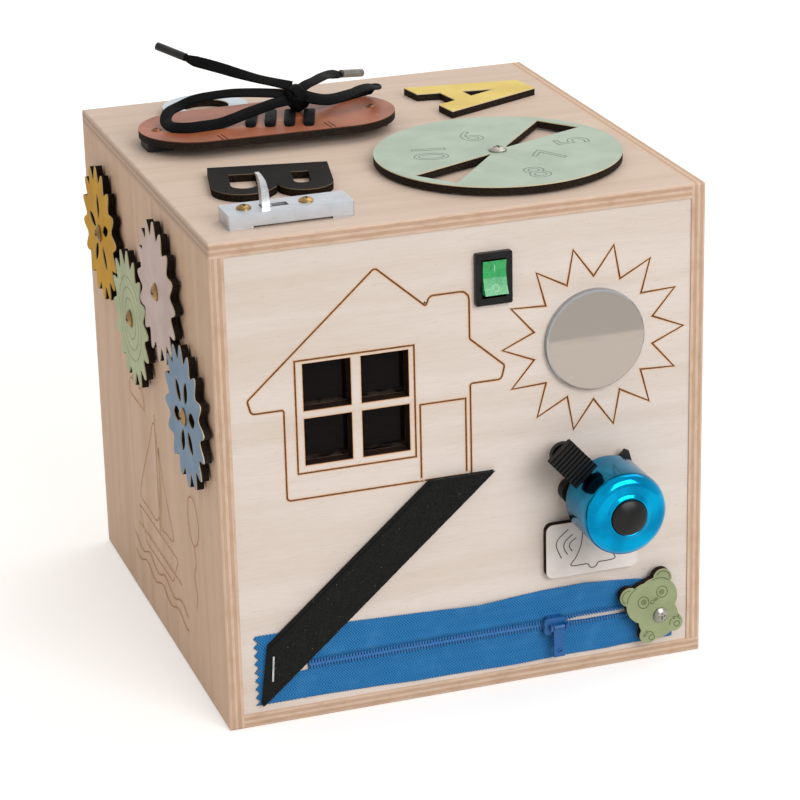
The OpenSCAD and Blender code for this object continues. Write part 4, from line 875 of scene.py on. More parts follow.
@dataclass(frozen=True)
class LoopPile(Finish):
    """Nylon loop pile on a woven back: black, fuzzy, with lint and a firm woven edge."""

    width: float = 17.5
    hem: float = 1.5
    rib: float = 0.8

    def wire(self, tree: bpy.types.NodeTree, shader: bpy.types.Node) -> None:
        """Loops of 0.4 mm drawn at 0.6 mm, painted darker in their low spots as shade, brushed in patches,
        with plain ribs along both edges.

        Args:
            tree: The material's node tree.
            shader: Its Principled shader.
        """
        along = add(tree, "Attribute", out="Fac", attribute_name="along")
        across = add(tree, "Attribute", out="Fac", attribute_name="across")
        flat = add(tree, "CombineXYZ", (along, across))
        loops = add(tree, "TexVoronoi", {"Vector": flat, "Scale": 1.7})
        brushed = add(tree, "TexNoise", {"Vector": flat, "Scale": 0.16, "Detail": 6.0, "Roughness": 0.7})
        ribs = add(tree, "Math", (along, 2 * math.pi / self.rib), operation="MULTIPLY")
        ribs = add(tree, "Math", (ribs,), operation="SINE")
        reach = add(tree, "Math", (across,), operation="ABSOLUTE")
        edge = self.width / 2 - self.hem
        hem = add(tree, "MapRange", (reach, edge, edge + 0.3))
        cells = add(tree, "TexVoronoi", {"Vector": flat, "Scale": 0.4})
        lint = add(tree, "MapRange", (cells, 0.04, 0.08, 0.6, 0))
        # Painted shade: the pile is darker where the loops' relief is low
        colour = add(tree, "Mix", (add(tree, "MapRange", (loops, 0.1, 0.75)), "#050605", "#191A18"))
        colour = add(tree, "Mix", (add(tree, "MapRange", (brushed, 0.4, 0.75, 0, 0.35)), colour, "#20221F"))
        colour = add(tree, "Mix", (hem, colour, "#101010"))
        colour = add(tree, "Mix", (lint, colour, "#8A8A80"))
        tree.links.new(colour, shader.inputs["Base Color"])
        shader.inputs["Roughness"].default_value = 0.92
        shader.inputs["Sheen Weight"].default_value = 0.08
        shader.inputs["Sheen Roughness"].default_value = 0.5
        shader.inputs["Specular IOR Level"].default_value = 0.12
        ribs = add(tree, "MapRange", (ribs, -1, 1))
        height = add(tree, "Mix", {0: hem, 2: loops, 3: ribs}, 0, data_type="FLOAT")
        relief = add(tree, "Bump", {"Height": height, "Distance": 0.25 * MM})
        tree.links.new(relief, shader.inputs["Normal"])


# Zinc plating, bright and bluish, a little cloudy: screws, nuts and the bell's moving wire
ZINC = PlatedSteel("zinc_plated_screws", "#C3C6C8", "#8E9092", 0.26)
# Yellow passivated zinc, which looks like dull old brass: wood screws and switch contacts
BRASS = PlatedSteel("yellow_passivated_screws", "#A58556", "#6B5435", 0.3)
# Polished ABS, jet black with sharp lights: the switch's bezel and the bell's cap
BLACK_ABS = Moulded("gloss_black_abs", "#060606", 0.2, dust=0.02, specular=0.25)
# Satin nylon, black with a broad dull light: spacers, washers, the bell's foot, the cell holder
SATIN_BLACK = Moulded("satin_black_nylon", "#0B0A0A", 0.42, 0.8, 0.02, dust=0.04, specular=0.3)
# The front panel's birch, pale and crosswise grained, charred wherever the laser cut below its face
FRONT_BIRCH = SandedBirch("sanded_birch_front", outer=99.4, through=(0, -1, 0), cut_from=0.1)
# Braided polyester, dull black: the whole lace
LACE = BraidedLace("braided_polyester_lace")


def dress(finish: Finish, *nodes: str) -> None:
    """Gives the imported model's nodes their finish.

    Args:
        finish: The finish.
        nodes: The nodes' names.
    """
    for node in nodes:
        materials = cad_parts[node].data.materials
        materials.clear()
        materials.append(finish.build())
        LOG.info("%s: %s", node, finish.name)


# Camera and light


@dataclass
class Studio:
    """The photograph's viewpoint, a pale floor and soft light.

    The eye is in millimetres. The place to aim at and the table are in metres, as the lamps are.
    """

    eye: Triple = (-362.3, -1107.6, 537.5)
    yaw: float = 18.415
    pitch: float = -21.076
    roll: float = -1.383
    focal_px: float = 2977.8
    image_px: float = 800.0
    sensor: float = 36.0
    aim: Triple = (0, 0, 0.1)
    table_reach: float = 6.0
    table_front: float = -0.47

    def camera(self) -> None:
        """Stands the camera with its view line turned by yaw and pitch, then rolled."""
        yaw, pitch, roll = (math.radians(v) for v in (self.yaw, self.pitch, self.roll))
        level = math.cos(pitch)
        ahead = np.array([level * math.sin(yaw), level * math.cos(yaw), math.sin(pitch)])
        right = unit(np.cross(ahead, (0, 0, 1)))
        up = np.cross(right, ahead)
        right, up = (
            right * math.cos(roll) + up * math.sin(roll),
            up * math.cos(roll) - right * math.sin(roll),
        )
        data = bpy.data.cameras.new("camera")
        data.sensor_width = self.sensor
        data.lens = self.focal_px * self.sensor / self.image_px
        data.clip_start, data.clip_end = 0.05, 50.0
        camera = bpy.data.objects.new("camera", data)
        turn = Matrix(np.stack([right, up, -ahead], -1).tolist()).to_4x4()
        camera.matrix_world = Matrix.Translation(np.array(self.eye) * MM) @ turn
        bpy.context.scene.collection.objects.link(camera)
        bpy.context.scene.camera = camera
        LOG.info("camera: %.0f mm lens", data.lens)

    def lamp(self, name: str, place: Triple, size: float, watts: float, tone: str) -> None:
        """Adds a square soft lamp that points at the cube's middle.

        Args:
            name: Its name.
            place: Its place in metres.
            size: Its side in metres.
            watts: Its power.
            tone: Its colour.
        """
        data = bpy.data.lights.new(name, "AREA")
        data.shape = "SQUARE"
        data.size = size
        data.energy = watts
        data.color = linear(tone)[:3]
        lamp = bpy.data.objects.new(name, data)
        away = unit(np.array(place) - self.aim)
        right = unit(np.cross((0, 0, 1), away))
        turn = Matrix(np.stack([right, np.cross(away, right), away], -1).tolist()).to_4x4()
        lamp.matrix_world = Matrix.Translation(place) @ turn
        bpy.context.scene.collection.objects.link(lamp)
        LOG.info("%s: %.0f W", name, watts)

    def shown(self, tree: bpy.types.NodeTree) -> bpy.types.NodeSocket:
        """One for a ray from the camera, from gloss or through glass, and zero for any other.

        Args:
            tree: The world's or the floor's node tree.

        Returns:
            That number.
        """
        seen = add(tree, "LightPath", out="Is Camera Ray")
        for ray in ("Is Glossy Ray", "Is Transmission Ray"):
            seen = add(tree, "Math", (seen, add(tree, "LightPath", out=ray)), operation="MAXIMUM")
        return seen

    def world(self) -> None:
        """Fills the scene with soft light, and is white behind the object, in gloss and in glass."""
        world = bpy.data.worlds.new("studio")
        world.use_nodes = True
        bpy.context.scene.world = world
        tree = world.node_tree
        seen = self.shown(tree)
        # Light from above is whiter and stronger than light from the sides and from below
        tall = add(tree, "SeparateXYZ", (add(tree, "TexCoord", out="Generated"),), 2)
        above = add(tree, "MapRange", (tall, -0.05, 0.75, 0.46, 0.84))
        strength = add(tree, "Mix", {0: seen, 2: above, 3: 1.0}, 0, data_type="FLOAT")
        back = tree.nodes["Background"]
        warmth = add(tree, "Mix", (above, "#B59D88", "#FFFFFF"))
        shown = add(tree, "Mix", (seen, warmth, "#FFFFFF"))
        tree.links.new(shown, back.inputs["Color"])
        tree.links.new(strength, back.inputs["Strength"])

    def floor(self) -> None:
        """A wide pale table, white to the camera, that keeps the object's shadow.

        Its front edge lies outside the view, and the mirror shows it.
        """
        mesh = bpy.data.meshes.new("floor")
        reach, front = self.table_reach, self.table_front
        corners = np.array([[-reach, front, 0], [reach, front, 0], [reach, reach, 0], [-reach, reach, 0]])
        mesh.from_pydata(corners.tolist(), [], [(0, 1, 2, 3)])
        floor = bpy.data.objects.new("floor", mesh)
        bpy.context.scene.collection.objects.link(floor)
        material = bpy.data.materials.new("white_paper_floor")
        material.use_nodes = True
        tree = material.node_tree
        shader = tree.nodes["Principled BSDF"]
        shader.inputs["Base Color"].default_value = linear("#DAD7D4")
        shader.inputs["Roughness"].default_value = 0.9
        shader.inputs["Specular IOR Level"].default_value = 0.1
        shader.inputs["Emission Color"].default_value = (1.0, 1.0, 1.0, 1.0)
        lift = add(tree, "Math", (self.shown(tree), 0.42), operation="MULTIPLY")
        tree.links.new(lift, shader.inputs["Emission Strength"])
        mesh.materials.append(material)

    def build(self) -> None:
        """Camera, world, floor and lamps: a broad key from the front right and a top light, with the world
        as fill.
        """
        self.camera()
        self.world()
        self.floor()
        self.lamp("key", (0.55, -1.9, 1.15), 1.3, 34.0, "#FCFDFF")
        self.lamp("overhead", (0.9, 0.5, 1.7), 1.4, 11.0, "#FFFBF6")
        view = bpy.context.scene.view_settings
        view.view_transform = "Standard"


@dataclass
class LacingShoe:
    """The lacing shoe: plate on spacers, a flat black lace through eight holes, and its bow."""

    lift: float = 4.0
    lace_width: float = 4.9
    lace_thick: float = 1.1
    top: float = 7.2
    first: tuple[float, float] = (-47.6, 21.2)
    lean: float = -18.0
    pitch: float = 7.9
    rows: float = 22.0
    count: int = 4
    knot: Triple = (-23.5, 35.5, 212.9)
    knot_half: Triple = (4.8, 4.4, 4.2)
    knot_turns: tuple = (((0.89, 0.33, 0.31), 4.6, 4.9), ((0.35, -0.3, 0.88), 5.0, 4.3))
    loop_left: tuple = (
        (-26, 37.4, 14), (-31, 36.4, 15.4), (-37, 36, 16.4), (-44, 37, 17), (-51, 39, 17), (-58, 42, 16),
        (-65, 43, 15), (-71, 43, 13), (-77, 39, 12), (-80, 33, 10), (-79, 27, 9), (-74, 23, 9),
        (-67, 23, 9), (-60, 24, 9), (-54, 25, 10), (-48, 27, 11), (-41, 29, 12), (-34, 31, 13),
        (-27, 33, 13),
    )
    loop_right: tuple = (
        (-22, 33, 14), (-18, 28.5, 13.4), (-13, 26, 13), (-7, 26.5, 13.4), (-2, 29, 14), (3, 32.4, 14.4),
        (8, 36, 14), (11.9, 39.8, 12.8), (13.5, 43.2, 11.4), (12.6, 46.2, 10.2), (9.4, 47.6, 9.4),
        (4.6, 46.6, 9), (-1, 43.8, 9), (-6, 40.8, 9.4), (-11, 38, 10.4), (-16, 36.4, 12), (-21, 36, 14),
    )
    tail_left: tuple = (
        (-24.4, 38.4, 17.3), (-31, 39.6, 19.2), (-38, 42, 21), (-45, 46, 23), (-51, 49, 25),
        (-57, 51, 27), (-61, 54, 28), (-64, 58, 29),
    )
    tail_right: tuple = (
        (-21.2, 37.8, 15.8), (-17.6, 40.4, 16.8), (-13, 44, 17), (-8, 49, 17), (-4, 54, 16),
        (0, 58, 15), (4, 61, 14),
    )

    def cord(self, name: str, node: str, route: tuple, tip: str | None = None) -> None:
        """The band's flat side leans between up and the front, so it shows its width as it lies, and
        sways once over its length.

        Args:
            name: The piece's name.
            node: The node that it stands for.
            route: Its points, in mm above the top face.
            tip: The node of its tip.
        """
        path = smooth(np.array(route, float) + (0, 0, SIDE), 5)
        gaps = np.linalg.norm(np.diff(path, axis=0), axis=1)
        along = np.concatenate([[0], np.cumsum(gaps)])
        share = along / along[-1]
        sway = 0.35 * np.sin(share * 2 * np.pi)[:, None]
        facing = np.array([-0.22, -0.62, 0.75]) + sway * np.array([0.3, 0.5, 0.4])
        width = self.lace_width
        if tip:
            width = np.interp(share, [0.9, 1], [self.lace_width, 2.8])
        lace = Piece(name).band(path, facing, width, self.lace_thick)
        obj = lace.build(LACE, "box", "lace_black")
        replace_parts(obj, node)

    def laces(self) -> None:
        """The bow's two loops and two ends; they come before everything but the camera."""
        self.cord("bow_loop_left", "lace_loop_left", self.loop_left)
        self.cord("bow_loop_right", "lace_loop_right", self.loop_right)
        self.cord("bow_tail_left", "lace_tail_left", self.tail_left, "lace_aglet_left")
        self.cord("bow_tail_right", "lace_tail_right", self.tail_right, "lace_aglet_right")
        shrunk = Moulded("shrunk_acetate_lace_tip", "#141415", 0.22, 1.5, 0.05, dust=0.03, specular=0.3)
        dress(shrunk, "lace_aglet_left")
        dress(ClearResin("clear_acetate_lace_tip", "#8C8780", 0.6), "lace_aglet_right")

    def eyelet(self, i: int, row: int) -> np.ndarray:
        """The place of a lace hole on the top, seen from above.

        Args:
            i: Its number along the row, from the toe.
            row: 0 for the near row and 1 for the far one.

        Returns:
            The place in mm.
        """
        a = math.radians(self.lean)
        run, cross = np.array([math.cos(a), math.sin(a)]), np.array([-math.sin(a), math.cos(a)])
        return np.array(self.first) + i * self.pitch * run + row * self.rows * cross

    def held(self) -> None:
        """The lace that the shoe holds: bands over the plate, runs below it, and the knot.

        A band runs straight from a near hole to the far one, at heights that dip into both, and
        its flat side leans outwards there. The knot is two turns round a lump, which is a ball
        (x sin u cos v, y sin u sin v, z cos u) with its radius at 1 + 0.07 sin(3v + 4u).
        """
        piece = Piece("laced_bands")
        top = SIDE + self.top
        below = SIDE + self.lift - 1.1
        for i in range(self.count):
            a, b = self.eyelet(i, 0), self.eyelet(i, 1)
            share = np.array([0.0, 0.0, 0.03, 0.12, 0.3, 0.5, 0.7, 0.88, 0.97, 1.0, 1.0])
            rise = np.array([-1.6, 0.3, 0.95, 1.1, 1.2, 1.1, 0.95, 0.3, -1.6])
            high = np.concatenate([[below], top + rise, [below]])
            path = np.column_stack([a[None] * (1 - share[:, None]) + b[None] * share[:, None], high])
            path = smooth(path, 4)
            wide = np.interp(path[:, 2], [top - 1, top + 0.8], [3.2, self.lace_width - 0.2])
            cross = unit(b - a)
            lean = np.clip((path[:, :2] - a) @ cross / np.linalg.norm(b - a), 0, 1)[:, None] * 2 - 1
            facing = np.column_stack([cross[None] * lean, np.full(len(path), 0.7)])
            piece.band(path, facing, wide, self.lace_thick)
            if i < self.count - 1:
                c = self.eyelet(i + 1, 0)
                share = np.linspace(0, 1, 9)[:, None]
                run = np.column_stack([b[None] * (1 - share) + c[None] * share, np.full(9, below)])
                piece.band(run, np.array([0, 0, 1.0]), 3.6, self.lace_thick)
        centre = np.array(self.knot)
        a = np.arange(40) * 2 * np.pi / 40
        for axis, wide, tall in self.knot_turns:
            axis = unit(np.array(axis))
            u = unit(np.cross(axis, (0, 0, 1)))
            v = np.cross(axis, u)
            ring = wide * np.cos(a)[:, None] * u + tall * np.sin(a)[:, None] * v
            piece.band(centre + ring, ring, 5.2, self.lace_thick + 0.5, closed=True)
        u, v = np.meshgrid(np.linspace(0, np.pi, 15)[1:-1], a, indexing="ij")
        ball = np.stack([np.sin(u) * np.cos(v), np.sin(u) * np.sin(v), np.cos(u)], -1) * self.knot_half
        folds = 1 + 0.07 * np.sin(3 * v + 4 * u)
        rows, columns = u.shape
        start = piece.count
        tall = self.knot_half[2]
        lump = np.vstack([(ball * folds[..., None]).reshape(-1, 3), [[0, 0, tall], [0, 0, -tall]]])
        piece.add(
            (centre + lump) * MM, grid_faces(rows, columns, False, True),
            along=np.append(4 * v.ravel(), [0, 0]), across=np.append(4 * u.ravel(), [0, 0]),
        )
        j = np.arange(columns)
        k = (j + 1) % columns
        pole = rows * columns
        piece.faces += (np.stack([np.full(columns, pole), j, k], -1) + start).tolist()
        last = (rows - 1) * columns
        piece.faces += (np.stack([np.full(columns, pole + 1), k + last, j + last], -1) + start).tolist()
        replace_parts(piece.build(LACE, "box", "lace_black"), "lace_crossings")

    def build(self) -> None:
        """Finishes the plate and its fixings, and laces it."""
        self.held()
        dress(
            PaintedCutout("leather_brown_stained_birch", "#A26042", "#884C30", top=SIDE + self.top,
                          line="#4A2A1C", gloss=0.3, veined=0.3, rim="#50301F"),
            "shoe_plate",
        )
        dress(SATIN_BLACK, "shoe_spacers")
        dress(PlatedSteel("bronzed_screws", "#8A5F45", "#5C3E2C", 0.35), "shoe_screws")


@dataclass
class Box:
    """The plywood cube: six panels, glue blocks and back screws, and what is burnt on it."""

    house_x: float = -35.5
    house_half: float = 37.5
    base: float = 93.2
    ridge: float = 182.4
    eave_out: float = 14.2
    chimney_w: float = 16.0
    chimney_top: float = 168.4
    pane: float = 19.2
    mullion: float = 4.0
    transom: float = 3.0
    window: tuple[float, float] = (-44.0, 127.4)
    sun: tuple[float, float] = (53.2, 142.2)
    rays: int = 14
    tip_r: float = 37.9
    valley_r: float = 25.4
    groove: float = 0.7
    halo: float = 2.4

    def house(self) -> np.ndarray:
        """The house's outline, as it is cut into the front.

        Its sides are straight between rounded corners, and the chimney stands on the roof's slope.

        Returns:
            Its points.
        """
        left, right = self.house_x - self.house_half, self.house_x + self.house_half
        eave = self.base + 37.4
        tip = eave + 5.6
        out_l, out_r = left - self.eave_out, right + self.eave_out
        stack = right - self.chimney_w
        foot = stack - 1.5
        fall = (self.ridge - tip) / (out_r - self.house_x)
        return rounded(np.array([
            [left, self.base, 1.5], [right, self.base, 0.5], [right, eave, 1],
            [out_r - 1.4, eave, 1.8], [out_r, tip, 1.4],
            [right, self.ridge - (right - self.house_x) * fall, 1], [right, self.chimney_top, 3.4],
            [stack, self.chimney_top, 2.4], [foot, self.ridge - (foot - self.house_x) * fall, 0.5],
            [self.house_x, self.ridge, 1.5], [out_l, tip, 1.4], [out_l + 1.4, eave, 1.8], [left, eave, 1],
        ]), 3)

    def burnt_rims(self) -> None:
        """Toasted rims along the lines that are cut into the front.

        The sun is (r cos a, r sin a) round its middle, with r at the tips and the valleys in turn.
        """
        piece = Piece("toasted_line_rims")
        half_w = (2 * self.pane + self.mullion) / 2 + 3
        half_h = (2 * self.pane + self.transom) / 2 + 3
        x, z = self.window
        window = np.array([
            [x - half_w, z - half_h], [x + half_w - 0.8, z - half_h],
            [x + half_w - 0.8, z + half_h - 1.6], [x - half_w, z + half_h - 1.6],
        ])
        a = np.arange(2 * self.rays)
        r = np.where(a % 2 == 0, self.tip_r, self.valley_r)
        turn = a * np.pi / self.rays
        rays = np.stack([self.sun[0] + r * np.cos(turn), self.sun[1] + r * np.sin(turn)], -1)
        right = self.house_x + self.house_half
        door = np.array([
            [right - 2, self.base], [right - 2, self.base + 31.6], [right - 20.6, self.base + 31.6],
            [right - 20.6, self.base],
        ])
        place = Face.FRONT.place
        for line in (self.house(), window, rays):
            piece.lines(place, line, self.halo, 0.03, True, self.groove / 2)
        piece.lines(place, door, self.halo, 0.05, False, self.groove / 2)
        for dx in (-1, 1):
            for dz in (-1, 1):
                cx = x + dx * (self.pane + self.mullion) / 2
                cz = z + dz * (self.pane + self.transom) / 2
                h = self.pane / 2
                pane = np.array([[cx - h, cz - h], [cx + h, cz - h], [cx + h, cz + h], [cx - h, cz + h]])
                flat = strip(pane, np.array([-0.8, -0.3, 0.0]), True)
                lifted = np.concatenate([flat, np.full((4, 3, 1), 0.02)], -1)
                burn = np.tile([0, 0.3, 0.7], 4)
                piece.add(place(lifted.reshape(-1, 3)), grid_faces(4, 3, True), scorch=burn)
        piece.build(FRONT_BIRCH, "box", "ply_face", flat=True)

    def side_picture(self, finish: Finish) -> None:
        """A generic line picture burnt into the left side: a boat on waves, a cloud, a balloon.

        Wave k is 1.7 sin(x / 4.1 + 1.4 k) mm high, for k of 0 and 1.

        Args:
            finish: The side's finish.
        """
        piece = Piece("burnt_boat_picture")
        # Flat places are (towards the front, up), from the middle of the side's foot
        hull = rounded(np.array([[-34, 44, 1], [30, 44, 1], [20, 30, 5], [-24, 30, 5]]), 4)
        main = [[-2, 49], [4, 62], [5, 78], [0, 93], [-10, 80], [-22, 64], [-30, 50], [-16, 48.5]]
        jib = [[4, 49], [12, 48.6], [24, 50.5], [17, 62], [9, 75], [5.5, 84], [6.4, 66]]
        mast = np.array([[1.6, 44.3], [1.6, 97], [1.6, 97.2]])
        x = np.linspace(-44, 42, 90)
        plank = np.stack([x[8:-8], 35 + 0 * x[8:-8]], -1)
        cloud = np.vstack([
            arc(-34, 96, 5, 180, 60, 10), arc(-27.5, 99, 6.5, 150, 30, 10), arc(-20, 96, 5, 120, 0, 10),
            [[-15, 93], [-39, 93]],
        ])
        balloon = [[58, 62], [64, 66], [66, 74], [61, 82], [53, 81], [50, 73], [52, 65]]
        thread = smooth(np.array([[57.5, 61.5], [59.5, 55], [56, 48], [59, 41], [57, 34]]), 6)
        main, jib, balloon = (smooth(np.array(line), 6, True) for line in (main, jib, balloon))
        marks = [(hull, True), (main, True), (jib, True), (cloud, True), (balloon, True)]
        marks += [(thread, False), (mast, False), (plank, False)]
        for k in range(2):
            swell = 25 - 6 * k + 1.7 * np.sin(x / 4.1 + 1.4 * k)
            marks.append((np.stack([x, swell], -1), False))
        for k, (line, closed) in enumerate(marks):
            piece.lines(Face.LEFT.place, line, 1.7, 0.03 + 0.008 * k, closed)
        piece.build(finish, "box", "ply_warm", flat=True)

    def build(self) -> None:
        """Finishes the panels, each with its own grain direction; the top's veneer is darkened as painted
        shade.
        """
        back, right, up = (0, 1, 0), (1, 0, 0), (0, 0, 1)
        left, down = (-1, 0, 0), (0, 0, -1)
        warm = ("#DCBCA1", "#D0AE90")
        beside = SandedBirch("sanded_birch_left", *warm, left, up, back, 100)
        dress(FRONT_BIRCH, "front_panel")
        dress(beside, "left_panel")
        # The top's darker, greyer veneer is painted shade: the same birch as the warm panels, darkened for
        # dimmer light
        dress(SandedBirch("sanded_birch_top_with_painted_shade", "#C7B3A3", "#BEA998", up, right, back, SIDE), "top_panel")
        dress(SandedBirch("sanded_birch_right", *warm, right, up, back, 100), "right_panel")
        dress(SandedBirch("sanded_birch_bottom", *warm, down, right, back), "bottom_panel")
        dress(SandedBirch("sanded_birch_back", *warm, back, right, up, 100), "back_panel")
        pine = SandedBirch("planed_pine_blocks", "#DDBE8E", "#C99F68", right, back, up, sheet=40)
        dress(pine, "corner_blocks")
        dress(ZINC, "back_screws")
        self.burnt_rims()
        self.side_picture(beside)


@dataclass
class Lamp:
    """What lies behind the window: smoked sheet, lamp board, cells and wires."""

    def build(self) -> None:
        """Finishes the sheet and the circuit."""
        dress(SmokedSheet("smoked_acrylic_sheet"), "window_sheet")
        dress(Moulded("green_solder_mask_board", "#1D5B38", 0.3, 0.5, 0.02), "lamp_board")
        dress(ClearResin("clear_epoxy_lamps", "#EFEFE4", 0.75), "lamp_leds")
        dress(SATIN_BLACK, "battery_holder")
        dress(PlatedSteel("nickel_plated_cells", "#B7B8B8", "#8C8D90", 0.3), "battery_cells")
        dress(Moulded("red_pvc_wire", "#9C1B14", 0.38), "lamp_wires")


@dataclass
class Switch:
    """The rocker switch, with its two marks."""

    x: float = 11.6
    z: float = 172.6
    pivot: float = -1.0
    tilt: float = -10.0
    half_h: float = 6.6
    crest: float = 3.8

    def on_rocker(self, points: np.ndarray) -> np.ndarray:
        """Lays (right, up, over) on the rocker's dished face, tilted as it stands at rest.

        The face rises from 3.8 mm over the pin in its middle through 4.15 mm halfway to 5.2 mm
        at its ends.

        Args:
            points: Rows of (right, up, over) in mm.

        Returns:
            The points in metres.
        """
        y = points[:, 1]
        rise = np.interp(np.abs(y), [0, self.half_h / 2, self.half_h], [0, 0.35, 1.4])
        lift = self.crest + rise + points[:, 2]
        a = math.radians(self.tilt)
        up = y * math.cos(a) - lift * math.sin(a)
        out = y * math.sin(a) + lift * math.cos(a) + self.pivot
        return Face.FRONT.place(np.stack([self.x + points[:, 0], self.z + up, out], -1))

    def build(self) -> None:
        """Finishes the switch and prints its two marks."""
        dress(BLACK_ABS, "switch_housing")
        dress(ClearResin("tinted_polycarbonate_rocker", "#2DAF5F", 0.12, 0.35, 0.24), "switch_rocker")
        dress(BRASS, "switch_terminals")
        piece = Piece("rocker_marks")
        bar = np.array([[0.0, 2.2], [0.0, 3.4], [0.0, 4.9]])
        for line, closed in ((bar, False), (circle(0, -3.9, 1.25, 32), True)):
            flat = strip(line, np.array([-0.13, 0.13]), closed)
            lifted = np.concatenate([flat, np.full(flat.shape[:2] + (1,), 0.04)], -1)
            piece.add(self.on_rocker(lifted.reshape(-1, 3)), grid_faces(len(line), 2, closed))
        piece.build(Moulded("pale_printed_marks", "#A6DDB4", 0.5), "rocker", "sign_white")


@dataclass
class Bell:
    """The thumb bell over its sign."""

    x: float = 55.1
    z: float = 78.7
    low: float = 8.0
    depth: float = 23.5
    r: float = 17.0
    wall: float = 1.0
    shoulder: float = 4.5
    cap_r: float = 7.2
    hole_r: float = 1.7
    burn: float = 1.1

    def place(self, points: np.ndarray) -> np.ndarray:
        """Turns (right, up, out) from the bell's axis into metres."""
        return Face.FRONT.place(points + (self.x, self.z, 0))

    def dome(self) -> None:
        """The spun dome: rolled rim, straight wall, round shoulder and a dished ring at the cap.

        Point (i, j) is (r cos a, r sin a, h), with r, h from the closed profile's row j and a from
        0 to a full turn over i.
        """
        front = self.low + self.depth
        s, r, low, cap = self.shoulder, self.r, self.low, self.cap_r
        inside = s - self.wall
        a = np.radians(np.linspace(0, 90, 14))
        hole = [[self.hole_r, front - self.wall], [self.hole_r, front - 0.3]]
        ring = [
            [cap - 0.1, front - 0.1], [cap + 0.1, front + 0.45], [cap + 0.6, front + 0.75],
            [cap + 1.2, front + 0.6], [cap + 1.8, front + 0.12], [cap + 2.4, front],
        ]
        outer = np.stack([r - s + s * np.sin(a), front - s + s * np.cos(a)], -1)
        rim = [
            [r, low + 0.9], [r, low + 0.5], [r - 0.2, low + 0.1], [r - 0.6, low], [r - 0.9, low + 0.2],
            [r - self.wall, low + 0.8],
        ]
        inner = np.stack([r - s + inside * np.sin(a), front - s + inside * np.cos(a)], -1)[::-1]
        under = [[cap, front - self.wall], [self.hole_r, front - self.wall]]
        profile = np.vstack([hole, ring, outer, rim, inner, under])
        sides = 128
        turn = np.arange(sides)[:, None] * 2 * np.pi / sides
        radius, height = profile[:, 0][None], profile[:, 1][None]
        shell = np.stack([radius * np.cos(turn), radius * np.sin(turn), height + 0 * turn], -1)
        piece = Piece("spun_bell_dome")
        piece.add(self.place(shell.reshape(-1, 3)), grid_faces(sides, len(profile), True, True)[:, ::-1])
        finish = LacqueredShell("blue_lacquered_aluminium", centre=(self.x, 0, self.z))
        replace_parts(piece.build(finish, "box", "bell_blue"), "bell_dome")

    def sign(self) -> None:
        """Three sound arcs and a small bell, burnt into the sign's face."""
        finish = PaintedCutout(
            "grey_painted_sign", "#D8D1CB", "#CDC5BE", Face.FRONT.out, Face.FRONT.level + CUTOUT, "#3E342B"
        )
        dress(finish, "bell_sign")
        piece = Piece("burnt_bell_picture")
        # Each sound arc runs through four points, smoothed
        arcs = (
            ((41.2, 64.3), (37.1, 60.9), (36.1, 57.6), (38.3, 52.2)),
            ((43.1, 61.9), (40.0, 59.4), (39.3, 56.6), (40.9, 53.4)),
            ((44.6, 60.2), (42.3, 58.6), (41.7, 56.7), (42.9, 54.6)),
        )
        for points in arcs:
            piece.lines(Face.FRONT.place, smooth(np.array(points), 8), self.burn, CUTOUT + 0.03)
        bell = np.array([
            [47.1, 62.5], [47.2, 60.7], [46.5, 56.4], [44.5, 51.8], [42.4, 49.2], [42.9, 48.2],
            [46.5, 48.1], [49.5, 48.0], [50.4, 46.6], [51.8, 46.1], [53.2, 46.8], [54.1, 48.1],
            [57.4, 48.2], [60.4, 48.4], [61.3, 49.2], [60.2, 51.0],
        ])
        piece.lines(Face.FRONT.place, smooth(bell, 5), self.burn, CUTOUT + 0.04)
        piece.build(finish, "box", "sign_white", flat=True)

    def cap(self) -> None:
        """The black cap: a low dome, r from 0 to 7.2, that falls with the square of r."""
        front = self.low + self.depth
        r = np.linspace(0, self.cap_r, 14)
        crown = np.stack([r, front + 2.9 - 1.7 * (r / self.cap_r) ** 2], -1)
        foot = np.array([[self.cap_r + 0.1, front + 0.8], [self.cap_r, front + 0.05], [0, front + 0.05]])
        piece = Piece("domed_bell_cap").lathe(self.place, np.vstack([crown, foot]), 64)
        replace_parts(piece.build(BLACK_ABS, "box", "bell_black"), "bell_cap")

    def build(self) -> None:
        """Finishes the bell and its sign."""
        self.dome()
        self.cap()
        self.sign()
        dress(SATIN_BLACK, "bell_base")
        dress(MouldedRubber("ribbed_black_rubber"), "bell_lever")
        dress(ZINC, "bell_striker", "bell_spring")


